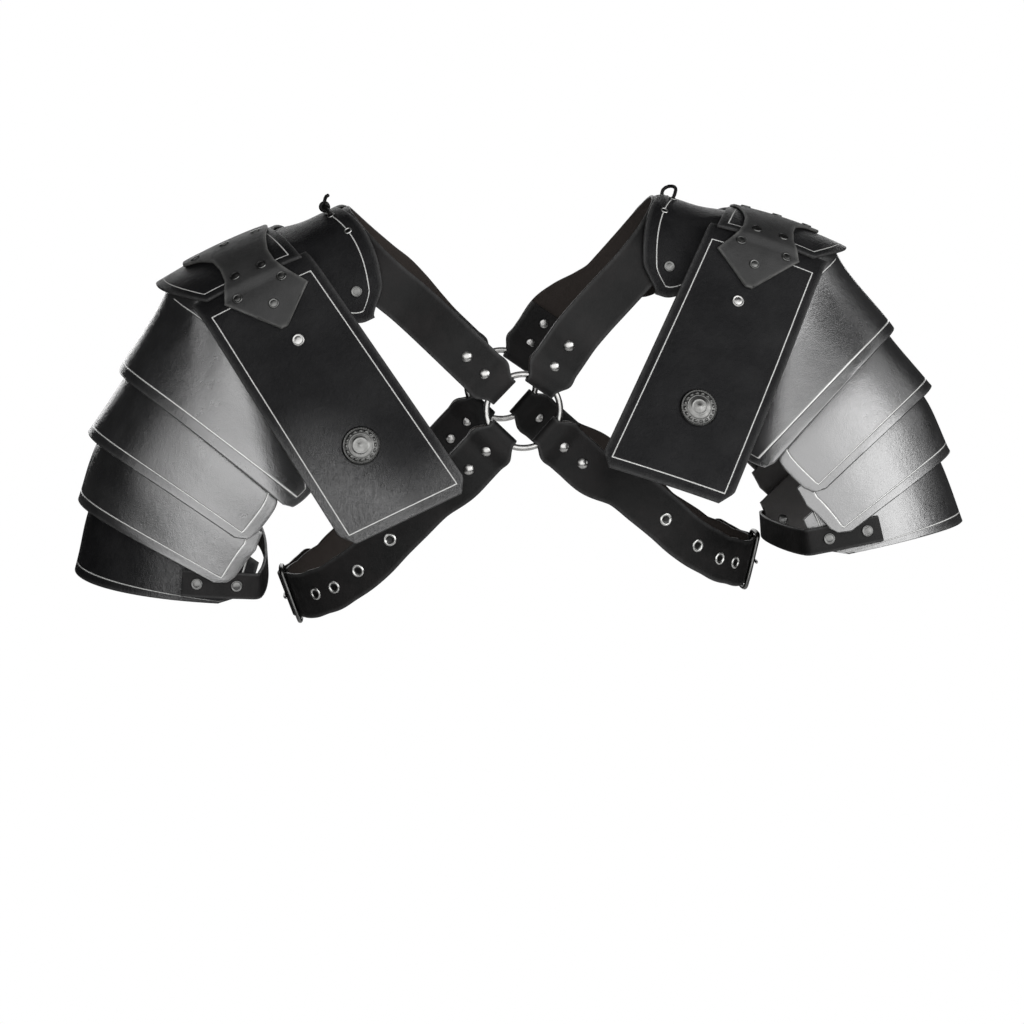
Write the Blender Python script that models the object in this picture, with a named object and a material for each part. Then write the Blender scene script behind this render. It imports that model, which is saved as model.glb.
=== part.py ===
"""Leather shoulder armour: two pauldrons joined by one cross harness.

Front of the armour faces -Y, up is +Z, all sizes are in metres and angles in degrees.
The origin is the point on the shoulder line midway between the shoulders.
"""
import math

import bpy
import numpy as np

# Leather and clearances
LEATHER = 0.0030
STRAP_THICKNESS = 0.0028
CLEARANCE = 0.0003
LAME_GAP = 0.0009

# Shoulder line, measured outward from the middle and up from the origin
SADDLE_START_REACH = 0.197
SADDLE_START_HEIGHT = -0.013
RIDGE_TILT = 22.0

# Saddle plate over the shoulder point
SADDLE_WIDTH = 0.1075
SADDLE_HALF_LENGTH = 0.077
SADDLE_CORNER_INSET = 0.036
SADDLE_INNER_SHIFT = 0.015
SHOULDER_TURN = 37.0
CROWN_RADIUS = 0.450

# Bend in front of the shoulder and the fall of the chest plate
BEND_LENGTH = 0.026
BEND_TURN = 64.0
CHEST_END_TURN = 75.0

# Chest plate
CHEST_LENGTH = 0.212
CHEST_TOP_WIDTH = 0.105
CHEST_BOTTOM_WIDTH = 0.112
CHEST_TOP_CENTRE = 0.0265
CHEST_BOTTOM_CENTRE = -0.004
CHEST_TUCK = 0.008
CHEST_CORNER_CUT = 0.012

# Connector between saddle and chest plate
CONNECTOR_RIDGE_WIDTH = 0.078
CONNECTOR_WAIST_WIDTH = 0.044
CONNECTOR_SHIELD_WIDTH = 0.064
CONNECTOR_LENGTH = 0.130
CONNECTOR_BACK_LENGTH = 0.050

# Shoulder cap on the neck side
NECK_RADIUS = 0.075
NECK_DROP = 0.0105
CAP_ARC_TURN = 80.0
CAP_SKIRT = 0.025
CAP_REACH = 0.0575
CAP_BULGE = 0.014

# Arm lames
HALF_SPAN = 0.379
LAME_DROP = 0.297
ARM_HALF_DEPTH = 0.112
ARM_HALF_WIDTH = 0.118
LAME_OVERLAP = 0.020
LAME_STANDOFF = 0.0060
LAME_CORNER_CUT = 0.006
CORNER_SLOPE = 0.55
LAME_TUCK = 0.010
LAME_DIP = 1.28

# Harness
STRAP_WIDTH = 0.040
STRAP_END_WIDTH = 0.027
RING_RADIUS = 0.0305
RING_WIRE = 0.0026
RING_HEIGHT = -0.170
CHEST_HALF_DEPTH = 0.092
TORSO_HALF_WIDTH = 0.194
TORSO_TAPER = 0.30
STRAP_LAP = 0.076
BUCKLE_WIRE = 0.0020
BUCKLE_LENGTH = 0.022
BUCKLE_PLAY = 0.003
STRAP_TIP = 0.050

# Arm strap and small parts
ARM_STRAP_WIDTH = 0.022
ARM_STRAP_TAB = 0.044
ARM_STRAP_BULGE = 0.009
ARM_STRAP_HEIGHT = 0.0145
CONCHO_DIAMETER = 0.031
CONCHO_HEIGHT = 0.0070
CONCHO_PLACE = 0.142
LACE_DIAMETER = 0.0032
LACE_STUB = 0.016

# Over-shoulder strap: its place on the ridge and its drift toward the neck
STRAP_RIDGE_PLACE = -0.047
STRAP_DRIFT = 0.031

# Connector from the ridge down: place is a share of CONNECTOR_LENGTH, middle (measured
# outward from the saddle's start) of SADDLE_WIDTH, and the width is made of shares of
# CONNECTOR_RIDGE_WIDTH, CONNECTOR_WAIST_WIDTH and CONNECTOR_SHIELD_WIDTH
CONNECTOR_OUTLINE = (
    {"place": 0.00, "middle": 0.381, "ridge": 1.00, "waist": 0.00, "shield": 0.00},
    {"place": 0.06, "middle": 0.381, "ridge": 1.00, "waist": 0.00, "shield": 0.00},
    {"place": 0.15, "middle": 0.325, "ridge": 0.79, "waist": 0.00, "shield": 0.00},
    {"place": 0.28, "middle": 0.285, "ridge": 0.00, "waist": 1.10, "shield": 0.00},
    {"place": 0.42, "middle": 0.276, "ridge": 0.00, "waist": 0.98, "shield": 0.00},
    {"place": 0.54, "middle": 0.268, "ridge": 0.00, "waist": 1.02, "shield": 0.00},
    {"place": 0.62, "middle": 0.268, "ridge": 0.00, "waist": 0.00, "shield": 0.82},
    {"place": 0.69, "middle": 0.258, "ridge": 0.00, "waist": 0.00, "shield": 0.98},
    {"place": 0.79, "middle": 0.172, "ridge": 0.00, "waist": 0.00, "shield": 0.94},
    {"place": 1.00, "middle": 0.202, "ridge": 0.00, "waist": 0.00, "shield": 0.09},
)

# Lames from the top: reach is a share of HALF_SPAN, drop and fall of LAME_DROP,
# width of ARM_HALF_WIDTH and depth of ARM_HALF_DEPTH. Wraps are angles round
# the arm, from straight out to the front edge, at the top, at LOW_ROW and at the bottom.
# standoff is a share of LAME_STANDOFF, spacing of STRAP_THICKNESS, overlap of
# LAME_OVERLAP and cut of LAME_CORNER_CUT.
LAMES = (
    {"reach": 0.873, "drop": 0.432, "width": 0.932, "depth": 0.985, "fall": 0.275,
     "wrap_top": 88.0, "wrap_low": 118.0, "wrap_bottom": 105.0,
     "standoff": 0.00, "spacing": 0.0, "overlap": 1.0, "cut": 1.6},
    {"reach": 0.950, "drop": 0.604, "width": 1.017, "depth": 1.000, "fall": 0.255,
     "wrap_top": 99.0, "wrap_low": 95.0, "wrap_bottom": 93.0,
     "standoff": 0.50, "spacing": 0.12, "overlap": 1.0, "cut": 1.4},
    {"reach": 0.982, "drop": 0.795, "width": 1.000, "depth": 0.980, "fall": 0.197,
     "wrap_top": 97.0, "wrap_low": 93.0, "wrap_bottom": 91.0,
     "standoff": 1.20, "spacing": 0.0, "overlap": 1.0, "cut": 1.6},
    {"reach": 1.000, "drop": 0.998, "width": 0.975, "depth": 0.930, "fall": 0.040,
     "wrap_top": 100.0, "wrap_low": 101.5, "wrap_bottom": 102.0,
     "standoff": 0.60, "spacing": 1.35, "overlap": 2.2, "cut": 3.2},
)

# Share down a lame at which its wrap_low is
LOW_ROW = 0.82

# How each side sits: hand is the sign of its X, lift is up, pitch brings the front down,
# rise and fall are the angles of its straps at the ring, from level, and drift is a
# share of STRAP_DRIFT
SIDES = (
    {"name": "left", "hand": -1.0, "lift": 0.0035, "pitch": 3.5,
     "rise": 47.5, "fall": 43.0, "drift": 1.0},
    {"name": "right", "hand": 1.0, "lift": -0.0035, "pitch": -5.0,
     "rise": 52.0, "fall": 45.0, "drift": 0.95},
)

# Lower strap from ring to side: reach is a share of TORSO_HALF_WIDTH, height is
# below the ring as a share of LAME_DROP
LOWER_PATH = (
    {"reach": 0.30, "height": 0.192},
    {"reach": 0.48, "height": 0.300},
    {"reach": 0.66, "height": 0.410},
    {"reach": 0.82, "height": 0.476},
    {"reach": 0.94, "height": 0.510},
    {"reach": 1.00, "height": 0.520},
)

# Depths of the stacked plates below the saddle plate's face, and the connector above it
CHEST_OFFSET = -LEATHER - CLEARANCE
CAP_OFFSET = -2.0 * (LEATHER + CLEARANCE) - CLEARANCE
CONNECTOR_OFFSET = LEATHER + CLEARANCE

# A place inside the arm, which every wall's outer face looks away from
INSIDE = (SADDLE_START_REACH + 0.03, 0.0, -0.2)

# Angles round the torso: where the lower strap leaves the chest, and the buckle's bar
TORSO_START = math.asin(0.36)
BUCKLE_ANGLE = math.radians(97.0)

# Facets: lengths between rows of the plates, columns around a half turn of a lame and
# rows down it, sides round the ring and round a wire
PROFILE_STEP = 0.0085
SEGMENTS = {"lame_around": 22, "lame_down": 4, "ring": 24, "wire": 8}


def clear_scene():
    """Empty the scene so that the script can be run again."""
    for item in list(bpy.data.objects):
        bpy.data.objects.remove(item, do_unlink=True)


def smooth(value):
    """Ease from 0 to 1 with level ends."""
    value = np.clip(value, 0.0, 1.0)
    return value * value * (3.0 - 2.0 * value)


def unit(vectors):
    """Scale vectors to length one."""
    length = np.linalg.norm(vectors, axis=-1, keepdims=True)
    return vectors / np.maximum(length, 1e-12)


def leather(name, colour, roughness):
    """Make one plain material."""
    material = bpy.data.materials.new(name)
    material.use_nodes = True
    shader = material.node_tree.nodes["Principled BSDF"]
    shader.inputs["Base Color"].default_value = (*colour, 1.0)
    shader.inputs["Roughness"].default_value = roughness
    material.diffuse_color = (*colour, 1.0)
    return material


def steel(name, roughness):
    """Make one plain metal material."""
    material = leather(name, (0.62, 0.62, 0.60), roughness)
    material.node_tree.nodes["Principled BSDF"].inputs["Metallic"].default_value = 1.0
    return material


def signed_volume(points, faces):
    """Volume of a closed mesh, negative when its faces point inward."""
    total = 0.0
    for face in faces:
        for index in range(1, len(face) - 1):
            corners = points[face[0]], points[face[index]], points[face[index + 1]]
            total += float(np.dot(corners[0], np.cross(corners[1], corners[2])))
    return total / 6.0


def add_node(name, points, faces, material, rounded=True):
    """Make one named object from a closed mesh, placed at its own middle."""
    points = np.asarray(points, dtype=float)
    if signed_volume(points, faces) < 0.0:
        faces = [tuple(reversed(face)) for face in faces]
    middle = (points.min(axis=0) + points.max(axis=0)) / 2.0
    mesh = bpy.data.meshes.new(name)
    mesh.from_pydata((points - middle).tolist(), [], [tuple(face) for face in faces])
    mesh.materials.append(material)
    if rounded:
        mesh.polygons.foreach_set("use_smooth", [True] * len(mesh.polygons))
    mesh.update()
    node = bpy.data.objects.new(name, mesh)
    node.location = middle.tolist()
    bpy.context.scene.collection.objects.link(node)
    return node


def wall(name, outer, normals, thickness, material):
    """Close a grid of outer points into a wall of even thickness."""
    inner = outer - normals * thickness
    rows, columns = outer.shape[:2]
    points = np.concatenate([outer.reshape(-1, 3), inner.reshape(-1, 3)])
    shift = rows * columns
    faces = []
    for row in range(rows - 1):
        for column in range(columns - 1):
            start = row * columns + column
            quad = (start, start + 1, start + columns + 1, start + columns)
            faces.append(quad)
            faces.append(tuple(index + shift for index in reversed(quad)))
    rim = [column for column in range(columns)]
    rim += [row * columns + columns - 1 for row in range(1, rows)]
    rim += [(rows - 1) * columns + column for column in range(columns - 2, -1, -1)]
    rim += [row * columns for row in range(rows - 2, 0, -1)]
    for first, second in zip(rim, rim[1:] + rim[:1]):
        faces.append((second, first, first + shift, second + shift))
    return add_node(name, points, faces, material)


def grid_normals(points):
    """Unit normals of a grid of points, row direction cross column direction."""
    down = np.gradient(points, axis=0)
    across = np.gradient(points, axis=1)
    return unit(np.cross(down, across))


def ribbon(name, path, normals, widths, thickness, material):
    """Sweep a flat strap along a path of mid points."""
    along = unit(np.gradient(path, axis=0))
    across = unit(np.cross(normals, along))
    facing = unit(np.cross(along, across))
    half = np.asarray(widths)[:, None] / 2.0
    lift = facing * thickness / 2.0
    corners = [path + across * half + lift, path - across * half + lift,
               path - across * half - lift, path + across * half - lift]
    return sweep(name, np.stack(corners, axis=1), material, closed=False, rounded=False)


def tube(name, path, radius, sides, material, closed=False):
    """Sweep a round wire along a path."""
    if closed:
        along = unit(np.roll(path, -1, axis=0) - np.roll(path, 1, axis=0))
    else:
        along = unit(np.gradient(path, axis=0))
    guide = np.zeros_like(path)
    axis = int(np.argmin(np.abs(along).max(axis=0)))
    guide[:, axis] = 1.0
    across = unit(np.cross(along, guide))
    up = np.cross(across, along)
    turns = np.linspace(0.0, 2.0 * math.pi, sides, endpoint=False)
    rings = path[:, None] + radius * (across[:, None] * np.cos(turns)[None, :, None]
                                      + up[:, None] * np.sin(turns)[None, :, None])
    return sweep(name, rings, material, closed=closed, rounded=True)


def sweep(name, rings, material, closed, rounded):
    """Join rings of points into a closed solid."""
    count, sides = rings.shape[:2]
    faces = []
    for ring in range(count if closed else count - 1):
        after = (ring + 1) % count
        for side in range(sides):
            beside = (side + 1) % sides
            faces.append((ring * sides + side, ring * sides + beside,
                          after * sides + beside, after * sides + side))
    if not closed:
        faces.append(tuple(reversed(range(sides))))
        faces.append(tuple((count - 1) * sides + side for side in range(sides)))
    return add_node(name, rings.reshape(-1, 3), faces, material, rounded)


class Profile:
    """Front-to-back line over the shoulder and down the chest plate.

    The heading starts level at the ridge, turns by SHOULDER_TURN along the
    saddle and by BEND_TURN in all at the end of the bend, and reaches
    CHEST_END_TURN at the end of the chest plate.
    """

    def __init__(self):
        self.reach = SADDLE_HALF_LENGTH + BEND_LENGTH + CHEST_LENGTH
        self.stations = np.linspace(0.0, self.reach, 1200)
        self.headings = np.radians(np.interp(
            self.stations,
            (0.0, SADDLE_HALF_LENGTH, SADDLE_HALF_LENGTH + BEND_LENGTH, self.reach),
            (0.0, SHOULDER_TURN, BEND_TURN, CHEST_END_TURN)))
        step = self.stations[1]
        middle = (self.headings[1:] + self.headings[:-1]) / 2.0
        self.forward = np.concatenate([[0.0], np.cumsum(np.cos(middle) * step)])
        self.fall = np.concatenate([[0.0], np.cumsum(np.sin(middle) * step)])

    def at(self, length):
        """Forward distance, fall and heading at signed lengths from the ridge."""
        away = np.abs(length)
        sign = np.where(np.asarray(length) < 0.0, -1.0, 1.0)
        forward = np.interp(away, self.stations, self.forward)
        fall = np.interp(away, self.stations, self.fall)
        heading = np.interp(away, self.stations, self.headings)
        return forward * sign, fall, heading, sign


PROFILE = Profile()
TILT = math.radians(RIDGE_TILT)


def plate_axis(length):
    """Outward place of the middle of the plates at a length from the ridge."""
    away = np.abs(length)
    start = SADDLE_WIDTH / 2.0
    front = SADDLE_HALF_LENGTH + BEND_LENGTH
    return np.interp(away, (0.0, SADDLE_HALF_LENGTH, front, PROFILE.reach),
                     (start, CHEST_TOP_CENTRE + 0.004, CHEST_TOP_CENTRE, CHEST_BOTTOM_CENTRE))


def to_side(across, forward, rise):
    """Turn places along the ridge, forward and up into reach, Y and height."""
    across, forward, rise = np.broadcast_arrays(across, forward, rise)
    reach = SADDLE_START_REACH + across * math.cos(TILT) + rise * math.sin(TILT)
    height = SADDLE_START_HEIGHT - across * math.sin(TILT) + rise * math.cos(TILT)
    return np.stack([reach, -forward, height], axis=-1)


def shoulder(across, length, offset):
    """Point on the plates' shared surface, offset along its normal."""
    forward, fall, heading, sign = PROFILE.at(length)
    crown = (across - plate_axis(length)) ** 2 / (2.0 * CROWN_RADIUS)
    depth = offset - crown
    return to_side(across, forward + sign * np.sin(heading) * depth,
                   -fall + np.cos(heading) * depth)


def neck(across, share, offset):
    """Point on the neck-side arch; share runs from -1 at the back to 1 at the front."""
    turn = math.radians(CAP_ARC_TURN)
    arc = NECK_RADIUS * turn
    away = np.abs(share) * (arc + CAP_SKIRT)
    sign = np.where(np.asarray(share) < 0.0, -1.0, 1.0)
    angle = np.minimum(away / NECK_RADIUS, turn)
    rest = np.maximum(away - arc, 0.0)
    radius = NECK_RADIUS + offset
    forward = radius * np.sin(angle) + rest * math.cos(turn)
    rise = radius * np.cos(angle) - NECK_RADIUS - rest * math.sin(turn) - NECK_DROP
    return to_side(across, forward * sign, rise)


def rest_on_side(points, side):
    """Put points of one pauldron on its side, pitched about the neck arch."""
    centre = to_side(-CAP_REACH, 0.0, -NECK_RADIUS - NECK_DROP)
    angle = math.radians(side["pitch"])
    y = points[..., 1] - centre[1]
    z = points[..., 2] - centre[2]
    turned_y = y * math.cos(angle) - z * math.sin(angle)
    turned_z = z * math.cos(angle) + y * math.sin(angle)
    return np.stack([points[..., 0] * side["hand"], turned_y + centre[1],
                     turned_z + centre[2] + side["lift"]], axis=-1)


def outward(points, side, inside):
    """Grid normals that point away from a place inside the armour."""
    normals = grid_normals(points)
    away = points - rest_on_side(np.asarray(inside), side)
    if float((normals * away).sum()) < 0.0:
        normals = -normals
    return normals


def plate_stations(start, end, spacing, extra=()):
    """Lengths from start to end on the shared grid of lengths, with some added."""
    first = math.floor(start / spacing) + 1
    last = math.ceil(end / spacing) - 1
    added = [start, end] + list(extra)
    shared = [index * spacing for index in range(first, last + 1)]
    shared = [value for value in shared
              if min(abs(value - other) for other in added) > spacing * 0.35]
    return np.array(sorted(added + shared))


def saddle_edges(length):
    """Inner and outer edge of the saddle plate at a length from the ridge."""
    share = np.clip(np.abs(length) / SADDLE_HALF_LENGTH, 0.0, 1.6)
    return -SADDLE_INNER_SHIFT * share, SADDLE_WIDTH - SADDLE_CORNER_INSET * share ** 2


def saddle_grid(columns, step=PROFILE_STEP):
    """Outer points of the saddle plate."""
    lengths = plate_stations(-SADDLE_HALF_LENGTH, SADDLE_HALF_LENGTH, step)
    inner, outer = saddle_edges(lengths)
    share = np.linspace(0.0, 1.0, columns)
    across = inner[:, None] + (outer - inner)[:, None] * share
    return shoulder(across, lengths[:, None] + 0.0 * across, 0.0)


def chest_grid(columns, step=0.015):
    """Outer points of the chest plate, with its lower corners cut."""
    start = SADDLE_HALF_LENGTH - CHEST_TUCK
    bend_end = SADDLE_HALF_LENGTH + BEND_LENGTH
    upper = plate_stations(start, bend_end, PROFILE_STEP)
    lower = plate_stations(bend_end, PROFILE.reach - CHEST_CORNER_CUT, step)[1:]
    lengths = np.concatenate([upper, lower, [PROFILE.reach]])
    share = np.clip((lengths - bend_end) / CHEST_LENGTH, 0.0, 1.0)
    half = (CHEST_TOP_WIDTH + (CHEST_BOTTOM_WIDTH - CHEST_TOP_WIDTH) * share) / 2.0
    half[-1] -= CHEST_CORNER_CUT * 0.75
    across = plate_axis(lengths)[:, None] + half[:, None] * np.linspace(-1.0, 1.0, columns)
    return shoulder(across, lengths[:, None] + 0.0 * across, CHEST_OFFSET)


def connector_half_width(length):
    """Half width of the connector, wide at the ridge, waisted, then a shield."""
    places = [row["place"] * CONNECTOR_LENGTH for row in CONNECTOR_OUTLINE]
    widths = [row["ridge"] * CONNECTOR_RIDGE_WIDTH + row["waist"] * CONNECTOR_WAIST_WIDTH
              + row["shield"] * CONNECTOR_SHIELD_WIDTH for row in CONNECTOR_OUTLINE]
    return np.interp(np.abs(length), places, widths) / 2.0


def connector_axis(length):
    """Outward place of the middle of the connector."""
    places = [row["place"] * CONNECTOR_LENGTH for row in CONNECTOR_OUTLINE]
    middles = [row["middle"] * SADDLE_WIDTH for row in CONNECTOR_OUTLINE]
    return np.interp(np.abs(length), places, middles)


def connector_grid(columns):
    """Outer points of the connector over saddle and chest plate."""
    edge = SADDLE_HALF_LENGTH + LEATHER * 0.5
    landing = edge + LEATHER * 3.5
    inner_corner = CONNECTOR_OUTLINE[-2]["place"] * CONNECTOR_LENGTH
    lengths = plate_stations(-CONNECTOR_BACK_LENGTH, CONNECTOR_LENGTH, PROFILE_STEP,
                             (edge, (edge + landing) / 2.0, landing, inner_corner))
    step_down = smooth((lengths - edge) / (landing - edge))
    offset = CONNECTOR_OFFSET + (CHEST_OFFSET) * step_down
    half = connector_half_width(lengths)
    across = connector_axis(lengths)[:, None] + half[:, None] * np.linspace(-1.0, 1.0, columns)
    return shoulder(across, lengths[:, None] + 0.0 * across, offset[:, None])


def cap_grid(columns, rows):
    """Outer points of the shoulder cap, from the neck edge to under the saddle."""
    share = np.linspace(-1.0, 1.0, rows)
    away = np.abs(share)
    edge = -CAP_REACH - CAP_BULGE * np.sin(math.pi * np.clip(away / 0.98, 0.0, 1.0) ** 1.15)
    edge = edge + 0.010 * smooth((away - 0.82) / 0.18)
    end = SADDLE_WIDTH * 0.12 - SADDLE_INNER_SHIFT * away * 0.3
    across = edge[:, None] + (end - edge)[:, None] * np.linspace(0.0, 1.0, columns)
    full = NECK_RADIUS * math.radians(CAP_ARC_TURN) + CAP_SKIRT
    length = share[:, None] * full + 0.0 * across
    under = CHEST_OFFSET - CLEARANCE + (CAP_OFFSET - CHEST_OFFSET) * smooth(
        (np.abs(length) - SADDLE_HALF_LENGTH * 0.6) / (SADDLE_HALF_LENGTH * 0.2))
    low = neck(across, share[:, None] + 0.0 * across, 0.0)
    high = shoulder(across, length, under)
    blend = smooth((across + CAP_REACH * 0.70) / (CAP_REACH * 0.62))[..., None]
    return low * (1.0 - blend) + high * blend


def lame_bottom(index, angle):
    """Lower edge of a lame at angles round the arm, zero straight out."""
    row = LAMES[index]
    width = ARM_HALF_WIDTH * row["width"]
    depth = ARM_HALF_DEPTH * row["depth"]
    inward = 1.0 - np.cos(angle)
    reach = HALF_SPAN * row["reach"] - width * inward
    height = -LAME_DROP * (row["drop"] + row["fall"] * inward ** LAME_DIP)
    return np.stack([reach, -depth * np.sin(angle), height], axis=-1)


def lame_top(angle):
    """Upper edge of the first lame, tucked under the saddle and chest plate."""
    full = math.radians(LAMES[0]["wrap_bottom"])
    length = angle / full * (SADDLE_HALF_LENGTH + BEND_LENGTH)
    share = np.abs(length) / SADDLE_HALF_LENGTH
    across = SADDLE_WIDTH - LAME_TUCK - SADDLE_CORNER_INSET * share ** 2
    offset = CHEST_OFFSET + (CAP_OFFSET - CHEST_OFFSET) * smooth((share - 0.7) / 0.2)
    return shoulder(across, length, offset - 0.0004)


def hermite(start, end, leave, arrive, share):
    """Cubic from start to end with given end directions."""
    s2 = share * share
    s3 = s2 * share
    return (start * (2.0 * s3 - 3.0 * s2 + 1.0) + leave * (s3 - 2.0 * s2 + share)
            + end * (3.0 * s2 - 2.0 * s3) + arrive * (s3 - s2))


def lame_point(index, angle, share):
    """Outer point of a lame: share is 0 at the edge of the one above, 1 at its own."""
    angle, share = np.broadcast_arrays(np.asarray(angle, float), np.asarray(share, float))
    end = lame_bottom(index, angle)
    if index == 0:
        start = lame_top(angle)
        chord = end - start
        size = np.linalg.norm(chord, axis=-1, keepdims=True)
        down = np.zeros_like(chord)
        down[..., 2] = -1.0
        return hermite(start, end, down * size * 0.55, chord, np.clip(share, 0.0, 1.0)[..., None])
    hidden = np.minimum(share, 0.0)
    normal = lame_normal(index - 1, angle, 1.0 + hidden)
    facing_out = np.clip(np.cos(angle), 0.0, 1.0)
    stand = LAME_STANDOFF * LAMES[index]["standoff"] * facing_out ** 1.5
    spacing = STRAP_THICKNESS * LAMES[index]["spacing"]
    inset = (LEATHER + LAME_GAP + spacing + stand)[..., None]
    start = lame_point(index - 1, angle, 1.0 + hidden) - normal * inset
    edge = 1e-3
    before = lame_point(index - 1, angle, 1.0 + hidden - edge)
    tangent = unit(lame_point(index - 1, angle, 1.0 + hidden) - before)
    chord = end - start
    size = np.linalg.norm(chord, axis=-1, keepdims=True)
    curve = hermite(start, end, tangent * size * 0.8, chord, np.maximum(share, 0.0)[..., None])
    return np.where((share < 0.0)[..., None], start, curve)


def lame_normal(index, angle, share):
    """Outward normal of a lame."""
    small = 1e-3
    down = lame_point(index, angle, share) - lame_point(index, angle, share - small)
    around = lame_point(index, angle + small, share) - lame_point(index, angle - small, share)
    return unit(np.cross(around, down))


def lame_shares(index, rows):
    """Shares down a lame; the ones below zero are hidden under the lame above."""
    if index == 0:
        return np.append(np.linspace(0.0, LOW_ROW, rows), 1.0)
    above = lame_point(index - 1, np.array(0.0), np.array([0.0, 1.0]))
    overlap = LAME_OVERLAP * LAMES[index]["overlap"]
    hidden = min(overlap / np.linalg.norm(above[1] - above[0]), 0.95)
    above_rows = 1 if hidden < 0.5 else 2
    return np.concatenate([np.linspace(-hidden, 0.0, above_rows + 1)[:-1],
                           np.linspace(0.0, 1.0, rows)])


def level_shares(index, angles, height):
    """Shares of the places on a lame that lie a height above its lower edge."""
    tries = np.linspace(-0.9, 1.0, 96)
    levels = lame_point(index, angles[:, None], tries)[..., 2]
    wanted = lame_bottom(index, angles)[:, 2] + height
    return np.array([np.interp(-level, -row, tries) for level, row in zip(wanted, levels)])


def lame_grid(index, around, rows):
    """Angles, shares and outer points of one lame."""
    row = LAMES[index]
    shares = lame_shares(index, rows)
    wrap = np.interp(shares, (0.0, LOW_ROW, 1.0),
                     (row["wrap_top"], row["wrap_low"], row["wrap_bottom"]))
    step = math.pi / around
    corner = LAME_CORNER_CUT * row["cut"]
    corner_angle = corner / ARM_HALF_WIDTH
    least = math.radians(min(row["wrap_top"], row["wrap_bottom"]))
    count = int((least - corner_angle - step * 0.3) / step)
    middle = np.arange(-count, count + 1) * step
    ends = np.radians(wrap)[:, None]
    widest = float(ends.max()) - corner_angle - count * step
    between = np.linspace(0.0, 1.0, int(widest / step * 0.85) + 2)[1:]
    beside = count * step + (ends - corner_angle - count * step) * between
    angles = np.concatenate([-ends, -beside[:, ::-1], np.repeat(middle[None], len(shares), axis=0),
                             beside, ends], axis=1)
    corner_share = float(level_shares(index, ends[-1], corner * CORNER_SLOPE)[0])
    lowest = np.ones(angles.shape[1])
    lowest[0] = lowest[-1] = corner_share
    spread = shares[0] + (shares[:, None] - shares[0]) * (lowest - shares[0]) / (1.0 - shares[0])
    return lame_point(index, angles, spread), lame_normal(index, angles, spread)


def strap_fold():
    """Mid line of a strap folded round the ring, as distance from its middle and height."""
    gap = (CLEARANCE + STRAP_THICKNESS) / 2.0
    turn = RING_WIRE + CLEARANCE + STRAP_THICKNESS / 2.0
    half = STRAP_END_WIDTH / 2.0
    inner = math.sqrt((RING_RADIUS - RING_WIRE) ** 2 - half ** 2) - CLEARANCE + turn
    inner = inner - STRAP_THICKNESS / 2.0
    under = [(STRAP_LAP, -gap), (RING_RADIUS + 0.026, -gap), (RING_RADIUS + 0.017, -gap),
             (RING_RADIUS + 0.0065, -turn), (RING_RADIUS, -turn), (inner, -turn)]
    bend = [(inner - turn * math.sin(angle), -turn * math.cos(angle))
            for angle in np.radians((30.0, 60.0, 90.0, 120.0, 150.0))]
    over = [(place, -height) for place, height in reversed(under)]
    return np.array(under + bend + over)


def strap_width(distance):
    """Width of a strap at a distance from the middle of the ring."""
    return np.interp(distance, (RING_RADIUS - 0.003, RING_RADIUS + 0.0065),
                     (STRAP_END_WIDTH, STRAP_WIDTH))


def fold_on_chest(angle):
    """Fold points and normals on the chest, for a strap that rises at an angle."""
    fold = strap_fold()
    heading = math.radians(angle)
    direction = np.array([math.cos(heading), 0.0, math.sin(heading)])
    centre = np.array([0.0, -CHEST_HALF_DEPTH, RING_HEIGHT])
    points = centre + fold[:, :1] * direction + fold[:, 1:] * np.array([0.0, -1.0, 0.0])
    run = np.gradient(fold, axis=0)
    run = unit(run)
    # The facing side of the strap turns with the fold
    normals = run[:, :1] * np.array([0.0, -1.0, 0.0]) - run[:, 1:] * direction
    return points, normals, strap_width(fold[:, 0])


def over_strap_path(side, arc_steps=19):
    """Mid line, facing directions and widths of the over-shoulder strap, ring to ring."""
    points, normals, widths = fold_on_chest(side["rise"])
    full = NECK_RADIUS * math.radians(CAP_ARC_TURN) + CAP_SKIRT
    share = np.linspace(0.98, -0.98, arc_steps)
    across = STRAP_RIDGE_PLACE - STRAP_DRIFT * side["drift"] * np.abs(share) ** 2.2
    inset = -LEATHER - CLEARANCE * 3.0 - STRAP_THICKNESS / 2.0
    arc = rest_on_side(neck(across, share, inset), dict(side, hand=1.0))
    deeper = rest_on_side(neck(across, share, inset - full * 0.1), dict(side, hand=1.0))
    arc_normals = unit(arc - deeper)
    back_points = mirrored(points, 1.0, back=True)
    back_normals = mirrored(normals, 1.0, back=True)
    shares = np.linspace(0.0, 1.0, 4)[1:-1, None]
    heading = math.radians(side["rise"])
    rise = np.array([math.cos(heading), 0.0, math.sin(heading)])

    def chest_run(start, start_normal, end, end_tangent, end_normal):
        size = np.linalg.norm(end - start) * 0.55
        run = hermite(start, end, rise * size, end_tangent * size, shares)
        return run, unit(start_normal * (1.0 - shares) + end_normal * shares)

    front_run, front_normals = chest_run(points[-1], normals[-1], arc[0],
                                         unit(arc[1] - arc[0]), arc_normals[0])
    back_run, back_run_normals = chest_run(back_points[-1], back_normals[-1], arc[-1],
                                           unit(arc[-2] - arc[-1]), arc_normals[-1])
    path = np.concatenate([points, front_run, arc, back_run[::-1], back_points[::-1]])
    facing = np.concatenate([normals, front_normals, arc_normals,
                             back_run_normals[::-1], back_normals[::-1]])
    middle = np.full(len(front_run) * 2 + arc_steps, STRAP_WIDTH)
    return path, facing, np.concatenate([widths, middle, widths[::-1]])


def mirrored(points, hand, back=False):
    """Copy points to a side, and to the back if asked."""
    return points * np.array([hand, -1.0 if back else 1.0, 1.0])


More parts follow.
